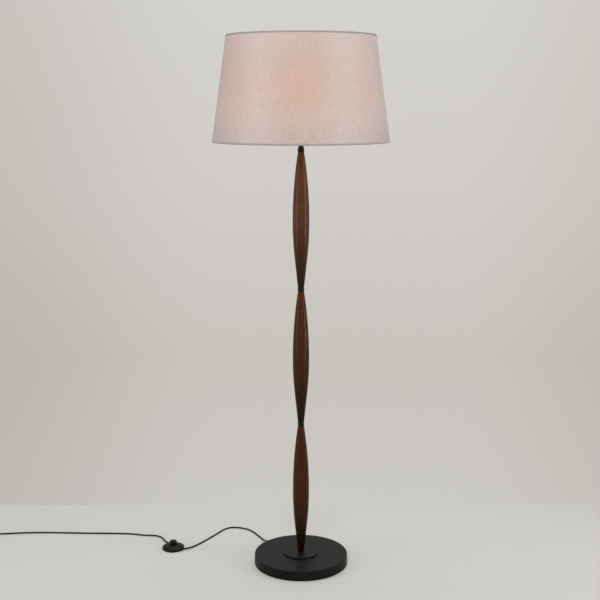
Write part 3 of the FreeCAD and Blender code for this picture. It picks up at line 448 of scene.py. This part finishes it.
def laminate():
    """The shade's white film, lit by the bulb: warm at the bulb's height, cooler at the ends."""
    f = Finish("laminate", specular_ior_level=0.4)
    _, _, z = f.axes()
    warm_height, warm_reach = 1.41, 0.13
    height = (z - warm_height) * (1 / warm_reach)
    near = f.bell(height * height)
    cloth = f.noise(1.0, 2, 0.5, f.stretched(300, 300, 500))
    mottle = f.noise(30, 3)
    f.feed("Base Color", f.blend(mottle, shade_of(228, 221, 211), shade_of(236, 230, 222)))
    f.feed("Emission Color", f.blend(near, shade_of(120, 98, 78), shade_of(235, 196, 150)))
    f.feed("Emission Strength", 0.55)
    f.feed("Roughness", 0.42 + mottle * 0.1)
    f.feed("Normal", f.relief(cloth, 0.0001, 0.3))
    return f


def white_dip():
    """White dip coat on wire, a little thick and wavy."""
    f = Finish("white_dip_coat")
    run = f.noise(160, 3)
    f.feed("Base Color", f.blend(run, shade_of(222, 219, 212), shade_of(204, 200, 192)))
    f.feed("Roughness", 0.38 + run * 0.15)
    f.feed("Normal", f.relief(run, 0.0003, 0.4))
    return f


def moulded_black(name, roughness, grain, depth):
    """Black moulding with a fine spark texture and faint handling shine."""
    f = Finish(name, specular_ior_level=0.12)
    spark = f.noise(grain, 2, 0.6)
    wear = f.noise(35, 4, 0.6)
    f.feed("Base Color", f.blend(wear, shade_of(13, 13, 13), shade_of(23, 22, 22)))
    f.feed("Roughness", roughness + (wear - 0.5) * 0.18)
    f.feed("Normal", f.relief(spark, depth, 0.5))
    return f


def flex_sheath():
    """Smooth black flex sheath with faint draw lines and scuffs."""
    f = Finish("flex_sheath", specular_ior_level=0.2)
    scuff = f.eased(f.noise(180, 4, 0.7), 0.55, 0.75)
    mottle = f.noise(50, 3)
    colour = f.blend(mottle, shade_of(15, 15, 16), shade_of(25, 24, 24))
    f.feed("Base Color", f.blend(scuff * 0.3, colour, shade_of(50, 49, 48)))
    f.feed("Roughness", 0.42 + scuff * 0.15)
    f.feed("Normal", f.relief(f.noise(700, 2), 0.00008, 0.4))
    return f


def felted_foam():
    """Grey needle felt: short matted fibres with a few small hollows."""
    f = Finish("felted_foam", sheen_weight=0.4, specular_ior_level=0.2)
    cells = f.spots(900)
    fibre = f.noise(500, 4, 0.7)
    f.feed("Base Color", f.blend(fibre, shade_of(66, 66, 68), shade_of(104, 103, 100)))
    f.feed("Roughness", 0.9)
    f.feed("Normal", f.relief(cells + fibre, 0.0004, 0.7))
    return f


def cast_metal():
    """Plain grey casting with a sand-cast skin."""
    f = Finish("cast_metal", metallic=0.8)
    sand = f.noise(450, 5, 0.7)
    f.feed("Base Color", f.blend(sand, shade_of(92, 92, 94), shade_of(126, 124, 122)))
    f.feed("Roughness", 0.6 + sand * 0.2)
    f.feed("Normal", f.relief(sand, 0.0005, 0.6))
    return f


def plated(name, pale, deep, roughness=0.28):
    """Plated metal with rolling marks and a slight cloudiness."""
    f = Finish(name, metallic=1.0)
    cloud = f.noise(120, 4, 0.6)
    marks = f.noise(1.0, 3, 0.6, f.stretched(2200, 300, 300))
    f.feed("Base Color", f.blend(cloud, shade_of(*pale), shade_of(*deep)))
    f.feed("Roughness", roughness + cloud * 0.15)
    f.feed("Normal", f.relief(marks, 0.00004, 0.4))
    return f


def pin_metal(node, sleeve):
    """A plug's pins: nickel tips, and black sleeves over the length next to the body."""
    pale, deep = (206, 202, 192), (178, 174, 166)
    f = plated("plug_pin", pale, deep, 0.22)
    _, y, _ = f.axes()
    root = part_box(node)[1][1]
    edge = 0.0001
    covered = f.eased(y, root - sleeve - edge, root - sleeve + edge)
    cloud = f.noise(60, 3)
    bare = f.blend(cloud, shade_of(*pale), shade_of(*deep))
    f.feed("Base Color", f.blend(covered, bare, shade_of(20, 20, 20)))
    f.feed("Metallic", 1.0 - covered)
    f.feed("Roughness", 0.24 + covered * 0.2 + cloud * 0.1)
    return f


def opal_glass():
    """Opal globe, lit from within, warmer and a little darker towards its neck."""
    f = Finish("opal_globe", subsurface_weight=0.2, coat_weight=0.5, coat_roughness=0.05)
    _, _, z = f.axes()
    rim_low, rim_high = 1.397, 1.425
    rim = f.eased(z, rim_low, rim_high)
    f.feed("Base Color", shade_of(196, 190, 180))
    f.feed("Emission Color", f.blend(rim, shade_of(236, 186, 136), shade_of(252, 226, 190)))
    f.feed("Emission Strength", 0.72)
    f.feed("Roughness", 0.22 + f.noise(80, 2) * 0.08)
    return f


def pale_moulding(name, pale, deep, roughness=0.35):
    """White or pale moulding, faintly mottled."""
    f = Finish(name)
    mottle = f.noise(60, 3)
    f.feed("Base Color", f.blend(mottle, shade_of(*pale), shade_of(*deep)))
    f.feed("Roughness", roughness + mottle * 0.12)
    f.feed("Normal", f.relief(f.noise(900, 2), 0.00006, 0.4))
    return f


# ---- Surfaces ----------------------------------------------------------------------------------
def surface(name, grid, body, closed_along=False, cloth=None):
    """A closed skin from points in rows: each row is a closed section and the rows follow a path.
    The path's two ends meet, or each is closed by one face. A grid with one more axis holds
    several such skins. cloth gives each point its place on the flat material, in metres, with
    one more column than the section has points."""
    rows, columns = grid.shape[-3:-1]
    vertices = grid.reshape(-1, 3)
    i, j = np.meshgrid(np.arange(rows if closed_along else rows - 1), np.arange(columns), indexing="ij")
    after_i, after_j = (i + 1) % rows, (j + 1) % columns
    row, next_row = i * columns, after_i * columns
    corners = np.stack([row + j, next_row + j, next_row + after_j, row + after_j], -1)
    faces = corners.reshape(-1, 4).tolist()
    if not closed_along:
        faces += [list(range(columns)), list(range((rows - 1) * columns, rows * columns))[::-1]]
    starts = range(0, len(vertices), rows * columns)
    faces = [[start + corner for corner in face] for start in starts for face in faces]
    mesh = bpy.data.meshes.new(name)
    mesh.from_pydata(vertices.tolist(), [], faces)
    if cloth is not None:
        around = [cloth[i, j], cloth[i + 1, j], cloth[i + 1, j + 1], cloth[i, j + 1]]
        places = np.stack(around, 2).reshape(-1, 2)
        flat = np.zeros((len(mesh.loops), 2))
        flat[: len(places)] = places
        mesh.uv_layers.new(name="cloth").data.foreach_set("uv", flat.ravel())
    mesh.polygons.foreach_set("use_smooth", np.ones(len(mesh.polygons), bool))
    mesh.validate()
    piece = bpy.data.objects.new(name, mesh)
    bpy.context.scene.collection.objects.link(piece)
    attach(piece, body)
    return piece


def turned(radius, angle, level):
    """A grid of points at each radius and level, turned about the vertical by each angle."""
    x = radius * np.cos(angle)[:, None]
    y = radius * np.sin(angle)[:, None]
    return np.stack([x, y, np.broadcast_to(level, x.shape)], -1)


SHADE_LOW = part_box("shade_trim_bottom")[0][2]
SHADE_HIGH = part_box("shade_trim_top")[1][2]
SHADE_LOW_RADIUS = 0.2515
SHADE_HIGH_RADIUS = 0.210
CLOTH_THICK = 0.0007
CLOTH_INSET = 0.0012  # from the shade's edge to the cloth's own
CLOTH_LOW = SHADE_LOW + CLOTH_INSET
CLOTH_HIGH = SHADE_HIGH - CLOTH_INSET
CLOTH_LAP = 0.012
LAP_RADIUS = 0.24
MAP_RADIUS = 0.23  # turns an angle into metres on the flat material
TAPE = 0.0048


def shade_radius(height):
    """The cloth's outside radius, straight from the lower edge's to the upper edge's."""
    share = (height - SHADE_LOW) / (SHADE_HIGH - SHADE_LOW)
    return SHADE_LOW_RADIUS + share * (SHADE_HIGH_RADIUS - SHADE_LOW_RADIUS)


def shade_cloth():
    """The cloth: once round the cone and 12 mm over its own start at the back. The section is a
    thin slot, up the outside and down the inside; the lap stands one thickness proud where it
    passes over the start, by a smooth step. The cloth bulges 0.1 mm in long faint waves."""
    steps, levels = 720, 48
    turn = 2 * np.pi + CLOTH_LAP / LAP_RADIUS
    travel = np.linspace(0, turn, steps)
    azimuth = np.pi / 2 - CLOTH_LAP / (2 * LAP_RADIUS) + travel
    rise = np.linspace(0, 1, levels)
    low, high = CLOTH_LOW, CLOTH_HIGH
    height = low + (high - low) * np.concatenate([rise, rise[::-1]])
    side = np.concatenate([np.zeros(levels), np.full(levels, CLOTH_THICK)])
    over = np.clip((travel - 2 * np.pi + 0.02) / 0.03, 0, 1)
    proud = (over**2 * (3 - 2 * over)) * (CLOTH_THICK + 0.0001)
    inside_trim = np.minimum(height - low, high - height) > TAPE
    arch = np.sin(np.pi * (height - low) / (high - low))
    wave = 0.0001 * np.sin(9 * azimuth)[:, None] * arch[None, :]
    full = np.where(inside_trim, 1, 0.4)
    radius = shade_radius(height)[None, :] - side[None, :] + proud[:, None] * full[None, :] + wave
    grid = turned(radius, azimuth, height)
    cloth = np.zeros((steps, 2 * levels + 1, 2))
    cloth[..., 0] = (azimuth * MAP_RADIUS)[:, None]
    cloth[..., 1] = np.append(height, height[0])[None, :]
    return surface("shade_cloth", grid[:, ::-1], "shade", cloth=cloth[:, ::-1])


def folded_tape(name, edge, toward):
    """Binding tape folded over an edge of the shade. The section is a long U with round corners:
    down the outside, round the fold, up the inside behind the wire. Its free edges waver by the
    sum of two small sines of the angle. toward is +1 where the tape reaches up from a lower edge
    and -1 where it reaches down from the upper one."""
    thick = 0.0004
    gap = 0.0001
    pocket = 0.0050
    curl = 0.0012
    reach = np.array([TAPE, TAPE * 0.6, curl])
    bend = np.linspace(0, np.pi, 24)
    middle = -pocket / 2
    outer_half = pocket / 2 + gap + thick
    inner_half = outer_half - thick

    def leaf(half, lift):
        """One side of the tape's thickness: how far out and how far up its points are."""
        near, far = np.full(3, middle + half), np.full(3, middle - half)
        leaf_out = np.concatenate([near, middle + half * np.cos(bend), far])
        leaf_up = np.concatenate([reach, lift + curl * (1 - np.sin(bend)), reach[::-1]])
        return leaf_out, leaf_up

    outer_out, outer_up = leaf(outer_half, 0.0)
    inner_out, inner_up = leaf(inner_half, thick)
    out = np.concatenate([outer_out, inner_out[::-1]])
    up = np.concatenate([outer_up, inner_up[::-1]])
    azimuth = np.linspace(0, 2 * np.pi, 480, endpoint=False)
    height = edge + toward * up
    waver = 0.00008 * np.sin(37 * azimuth) + 0.00006 * np.sin(101 * azimuth)
    radius = shade_radius(height)[None, :] + out[None, :]
    level = height[None, :] + (waver[:, None] * (up > 0.6 * TAPE)[None, :])
    grid = turned(radius, azimuth, level)
    cloth = np.zeros((len(azimuth) + 1, len(out) + 1, 2))
    cloth[..., 0] = np.linspace(0, 2 * np.pi * MAP_RADIUS, len(azimuth) + 1)[:, None]
    lengths = np.hypot(np.diff(out, append=out[0]), np.diff(up, append=up[0]))
    cloth[..., 1] = np.append(0, np.cumsum(lengths))[None, :]
    if toward < 0:
        grid, cloth = grid[:, ::-1], cloth[:, ::-1]
    return surface(name, grid, "shade", closed_along=True, cloth=cloth)


def threaded_cap():
    """The bulb's screw cap: a sleeve whose radius swells and sinks as a sine of height less the
    turn's share of one pitch, which draws a right-hand thread, fading out near both ends."""
    pitch, depth, wall_depth = 0.003629, 0.0008, 0.0024
    low, high = (corner[2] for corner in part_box("bulb_cap"))
    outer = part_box("bulb_cap")[1][0]
    steps, levels = 120, 160
    angle = np.linspace(0, 2 * np.pi, steps, endpoint=False)
    height = np.linspace(low, high, levels)
    shoulder = np.clip((height - low) / 0.0028, 0, 1)
    begin = np.clip((height - low - 0.003) / 0.002, 0, 1)
    fade = begin * np.clip((high - 0.0016 - height) / 0.002, 0, 1)
    wave = np.sin(2 * np.pi * height[None, :] / pitch - angle[:, None])
    skin = outer - 0.0019 * (1 - shoulder[None, :]) ** 1.5 - depth * fade[None, :] * (1 - wave) / 2
    wall = np.broadcast_to(outer - wall_depth, (steps, 2))
    radius = np.concatenate([skin, wall], 1)
    level = np.concatenate([height, [high, low]])
    grid = turned(radius, angle, level)
    return surface("bulb_screw_cap", grid, "bulb", closed_along=True)


def return_spring():
    """The foot switch's spring: a round wire carried along a helix. The first and last quarter
    turns lie flat, as on a spring with closed ends."""
    low, high = (corner[2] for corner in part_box("switch_spring"))
    wire = 0.00045
    coil_radius = 0.0082
    turns = 5.0
    share = np.linspace(0, 1, 320)
    rise = np.clip((share * turns - 0.6) / (turns - 1.2), 0, 1)
    height = low + wire + (high - low - 2 * wire) * rise
    angle = 2 * np.pi * turns * share
    out = np.stack([np.cos(angle), np.sin(angle), np.zeros_like(angle)], -1)
    axis = np.stack([np.full_like(angle, SWITCH[0]), np.full_like(angle, SWITCH[1]), height], -1)
    line = out * coil_radius + axis
    spin = np.linspace(0, 2 * np.pi, 12, endpoint=False)
    across, upward = np.cos(spin)[None, :, None], np.sin(spin)[None, :, None]
    grid = line[:, None] + wire * (across * out[:, None] + upward * np.array([0, 0, 1.0]))
    piece = surface("return_spring", grid[:, ::-1], "stand")
    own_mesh(piece)
    return piece


def plug_ribs():
    """Finger ribs on the plug's two edges, six low bars a side. Each bar stands upright, its
    section is an ellipse, and its size follows a half circle along it, so the ends run out."""
    (left, front, under), (right, _, over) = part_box("plug_body")
    first, spacing, proud, half_width = 0.0052, 0.0019, 0.0005, 0.00062
    along = np.linspace(-0.99, 0.99, 25)
    size = np.sqrt(1 - along**2)[:, None]
    spin = np.linspace(0, 2 * np.pi, 16, endpoint=False)
    height = (under + over) / 2 + 0.38 * (over - under) * along
    bars = []
    for side in (left, right):
        for step in range(6):
            out = side + proud * size * np.cos(spin)[None, :]
            place = front + first + spacing * step + half_width * size * np.sin(spin)[None, :]
            bars.append(np.stack([out, place, np.broadcast_to(height[:, None], out.shape)], -1))
    return surface("plug_ribs", np.stack(bars), "stand")


cloth = shade_cloth()
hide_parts("shade_fabric")
wide, narrow = shade_radius(CLOTH_LOW), shade_radius(CLOTH_HIGH)
slant = math.hypot(CLOTH_HIGH - CLOTH_LOW, wide - narrow)
apex = slant * wide / (wide - narrow)
fan = math.pi * wide / apex
cloth_area = (math.pi * (wide + narrow) + CLOTH_LAP) * slant
2 * apex * math.sin(fan)
apex - (apex - slant) * math.cos(fan)
tape_low = folded_tape("tape_low", SHADE_LOW, 1)
tape_high = folded_tape("tape_high", SHADE_HIGH, -1)
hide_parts("shade_trim_bottom")
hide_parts("shade_trim_top")
screw_cap = threaded_cap()
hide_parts("bulb_cap")
spring = return_spring()
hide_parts("switch_spring")
ribs = plug_ribs()

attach(flex_to_switch, "stand")
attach(flex_to_plug, "stand")
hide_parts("flex_to_switch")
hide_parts("flex_to_coil", "flex_coil", "flex_to_plug")

# ---- Which piece has which finish --------------------------------------------------------------
powder_coat().put_on("base_cover", "step_plate")
black_lacquer().put_on("ring_lower", "ring_upper", "ring_top", "neck_tube")
stained_wood("spindle_upper", (108, 70, 47), (58, 31, 15), 0.012).put_on("spindle_upper")
stained_wood("spindle_middle", (86, 51, 24), (42, 20, 5), -0.010).put_on("spindle_middle")
stained_wood("spindle_lower", (79, 42, 16), (37, 15, 2), 0.008).put_on("spindle_lower")
linen().put_on("shade_cloth")
trim_tape().put_on("tape_low", "tape_high")
laminate().put_on("shade_liner")
white_dip().put_on("shade_frame", "shade_top_wire")
flex_sheath().put_on("flex_base_to_switch", "flex_switch_to_plug", "stem_flex", "switch_tails")
moulded_black("switch_moulding", 0.42, 1600, 0.00005).put_on(
    "switch_cover",
    "switch_button",
    "switch_base",
)
moulded_black("holder_moulding", 0.22, 1200, 0.00003).put_on("holder_cap", "holder_body", "lock_ring")
moulded_black("plug_moulding", 0.40, 1300, 0.00008).put_on("plug_body", "plug_ribs")
moulded_black("gland_rubber", 0.62, 900, 0.00012).put_on("flex_gland", "switch_feet", "coil_tie")
felted_foam().put_on("base_pad")
cast_metal().put_on("base_weight")
plated("zinc_plate", (178, 180, 184), (150, 152, 156)).put_on(
    "base_plate",
    "base_nut",
    "base_washer",
    "clamp_screws",
    "plate_screws",
    "flex_clamp",
    "tube_lower",
    "tube_middle",
    "tube_upper",
    "switch_screws",
    "return_spring",
)
plated("nickel_plate", (208, 204, 196), (182, 178, 170), 0.2).put_on("bulb_screw_cap")
plated("stamped_brass", (206, 176, 112), (182, 150, 88), 0.25).put_on(
    "holder_terminals",
    "centre_contact",
    "side_contact",
    "switch_contacts",
    "switch_terminals",
    "bulb_contact",
)
pin_metal("plug_pins", sleeve=0.010).put_on("plug_pins")
pale_moulding("lead_sheath", (120, 74, 40), (96, 58, 32)).put_on("holder_leads")
pale_moulding("pressed_ceramic", (226, 222, 210), (210, 205, 192), 0.5).put_on("holder_insert")
pale_moulding("bulb_moulding", (236, 234, 229), (224, 222, 216)).put_on("bulb_housing")
pale_moulding("ratchet_nylon", (224, 221, 208), (206, 202, 188), 0.45).put_on("switch_rotor")
pale_moulding("black_glass", (14, 14, 16), (22, 22, 24), 0.1).put_on("bulb_insulator")
opal_glass().put_on("bulb_globe")


# ---- Floor, backdrop and light -----------------------------------------------------------------
def joined(tree, operation, first, second):
    """A Math node of two sockets, or of a socket and a number."""
    node = tree.nodes.new("ShaderNodeMath")
    node.operation = operation
    tree.links.new(first, node.inputs[0])
    if isinstance(second, float):
        node.inputs[1].default_value = second
    else:
        tree.links.new(second, node.inputs[1])
    return node.outputs[0]


def between(tree, value, low, high, kind="LINEAR"):
    """Where a value lies between two limits, from 0 to 1."""
    node = tree.nodes.new("ShaderNodeMapRange")
    node.interpolation_type = kind
    node.inputs[1].default_value, node.inputs[2].default_value = low, high
    tree.links.new(value, node.inputs[0])
    return node.outputs[0]


def mixed(tree, share, first, second):
    """A shader between two shaders."""
    node = tree.nodes.new("ShaderNodeMixShader")
    for value, socket in zip((share, first, second), node.inputs):
        tree.links.new(value, socket)
    return node.outputs[0]


def ramp(tree, value, stops, kind="LINEAR"):
    """A colour that runs through the stops as the value goes from 0 to 1."""
    node = tree.nodes.new("ShaderNodeValToRGB")
    node.color_ramp.interpolation = kind
    tree.links.new(value, node.inputs[0])
    elements = node.color_ramp.elements
    elements[0].position, elements[1].position = stops[0][0], stops[-1][0]
    for position, _ in stops[1:-1]:
        elements.new(position)
    for element, (_, colour) in zip(elements, stops):
        element.color = colour
    return node.outputs[0]


def seen_ray(tree):
    """1 for a ray from the camera, or one that comes by way of a gloss or a glass."""
    path = tree.nodes.new("ShaderNodeLightPath")
    total = path.outputs["Is Camera Ray"]
    for kind in ("Is Glossy Ray", "Is Transmission Ray"):
        total = joined(tree, "MAXIMUM", total, path.outputs[kind])
    return total


FLOOR_MIDDLE = (-0.3, -0.6, 0.0)
FLOOR_FADE = (1.3, 2.1)
FLOOR_SIDE = 2.6
FLOOR_FRONT = -2.9
REAR_SOFTNESS = 0.02  # to each side of the floor's rear line
FLOOR_GLOW = 0.15
NEAR_RAY = 0.02


def pale_floor():
    """A level floor that keeps the object's shadow and fades into the backdrop all round: a soft
    round edge far out, and a nearer soft line at the back, where the photograph has its own."""
    mesh = bpy.data.meshes.new("floor")
    back = HORIZON_BEHIND + REAR_SOFTNESS
    left, right = -FLOOR_SIDE, FLOOR_SIDE
    corners = [(left, FLOOR_FRONT, 0), (right, FLOOR_FRONT, 0), (right, back, 0), (left, back, 0)]
    mesh.from_pydata(corners, [], [(0, 1, 2, 3)])
    floor = bpy.data.objects.new("floor", mesh)
    bpy.context.scene.collection.objects.link(floor)
    material = bpy.data.materials.new("floor")
    material.use_nodes = True
    tree = material.node_tree
    shader = tree.nodes["Principled BSDF"]
    shader.inputs["Base Color"].default_value = shade_of(218, 217, 212)
    shader.inputs["Roughness"].default_value = 0.7
    shader.inputs["Specular IOR Level"].default_value = 0.2
    light = tree.nodes.new("ShaderNodeEmission")
    light.inputs["Color"].default_value = shade_of(204, 203, 198)
    share = joined(tree, "MULTIPLY", seen_ray(tree), FLOOR_GLOW)
    solid = mixed(tree, share, shader.outputs[0], light.outputs[0])

    spot = tree.nodes.new("ShaderNodeTexCoord").outputs["Object"]
    away = tree.nodes.new("ShaderNodeVectorMath")
    away.operation = "DISTANCE"
    away.inputs[1].default_value = FLOOR_MIDDLE
    tree.links.new(spot, away.inputs[0])
    far = between(tree, away.outputs["Value"], *FLOOR_FADE, "SMOOTHSTEP")
    depth = tree.nodes.new("ShaderNodeSeparateXYZ")
    tree.links.new(spot, depth.inputs[0])
    line = HORIZON_BEHIND - REAR_SOFTNESS, HORIZON_BEHIND + REAR_SOFTNESS
    rear = between(tree, depth.outputs[1], *line, "SMOOTHSTEP")
    gone = joined(tree, "MAXIMUM", far, rear)
    # Light from below reaches what rests on the floor: a short diffuse ray passes.
    path = tree.nodes.new("ShaderNodeLightPath")
    near = joined(tree, "LESS_THAN", path.outputs["Ray Length"], NEAR_RAY)
    passes = joined(tree, "MULTIPLY", near, path.outputs["Is Diffuse Ray"])
    either = joined(tree, "MAXIMUM", gone, passes)
    # From below the floor isn't there, so that the underside can be looked at.
    below = tree.nodes.new("ShaderNodeNewGeometry")
    absent = joined(tree, "MAXIMUM", either, below.outputs["Backfacing"])
    clear = tree.nodes.new("ShaderNodeBsdfTransparent")
    shown = mixed(tree, absent, solid, clear.outputs[0])
    tree.links.new(shown, tree.nodes["Material Output"].inputs[0])
    mesh.materials.append(material)


def studio():
    """Backdrop and light: a world that is even where it lights. Where it is seen it is a pale
    gradient from the horizon up, times one across with a darker band to each side."""
    world = bpy.data.worlds.new("studio")
    bpy.context.scene.world = world
    world.use_nodes = True
    tree = world.node_tree
    light = tree.nodes["Background"]
    light.inputs["Color"].default_value = (1.0, 0.998, 0.99, 1)
    light.inputs["Strength"].default_value = 0.26
    sight = tree.nodes.new("ShaderNodeTexCoord")
    parts = tree.nodes.new("ShaderNodeSeparateXYZ")
    tree.links.new(sight.outputs["Generated"], parts.inputs[0])
    heights = (
        (0.0, shade_of(203, 201, 196)),
        (0.3, shade_of(200, 196, 190)),
        (0.62, shade_of(208, 205, 200)),
        (1.0, shade_of(213, 211, 206)),
    )
    upward = ramp(tree, between(tree, parts.outputs[2], -0.36, 0.09), heights)
    sides = (
        (0.0, (0.98, 0.98, 0.97, 1.0)),
        (0.25, (0.86, 0.845, 0.83, 1.0)),
        (0.45, (1.0, 1.0, 1.0, 1.0)),
        (0.61, (1.0, 1.0, 1.0, 1.0)),
        (0.75, (0.92, 0.91, 0.89, 1.0)),
        (1.0, (0.98, 0.98, 0.97, 1.0)),
    )
    across = ramp(tree, between(tree, parts.outputs[0], -0.6, 0.6), sides, "EASE")
    tinted = tree.nodes.new("ShaderNodeMix")
    tinted.data_type, tinted.blend_type = "RGBA", "MULTIPLY"
    tinted.inputs[0].default_value = 1.0
    tree.links.new(upward, tinted.inputs[6])
    tree.links.new(across, tinted.inputs[7])
    shown = tree.nodes.new("ShaderNodeBackground")
    tree.links.new(tinted.outputs[2], shown.inputs["Color"])
    both = mixed(tree, seen_ray(tree), light.outputs[0], shown.outputs[0])
    tree.links.new(both, tree.nodes["World Output"].inputs[0])


def softbox(name, place, aim, width, height, power, colour=(1.0, 0.995, 0.985)):
    """A soft lamp with a flat face that looks at the point it is aimed at."""
    lamp = bpy.data.lights.new(name, "AREA")
    lamp.shape = "RECTANGLE"
    lamp.size = width
    lamp.size_y = height
    lamp.energy = power
    lamp.color = colour
    piece = bpy.data.objects.new(name, lamp)
    piece.location = place
    away = np.array(place) - np.array(aim)
    tilt = math.atan2(math.hypot(away[0], away[1]), away[2])
    piece.rotation_euler = (tilt, 0, math.atan2(away[0], -away[1]))
    bpy.context.scene.collection.objects.link(piece)


pale_floor()
studio()
softbox("left_box", (-2.6, -1.2, 1.1), (0, 0, 1.0), 0.6, 1.8, 14)
softbox("right_box", (2.7, -0.9, 1.1), (0, 0, 1.0), 0.6, 1.8, 21)
softbox("front_box", (-0.3, -3.8, 3.2), (0, 0, 0.7), 2.2, 2.2, 84)
softbox("top_box", (0.1, 0.8, 3.4), (0, 0, 0.3), 2.4, 2.4, 44)
bpy.context.scene.view_settings.view_transform = "Standard"
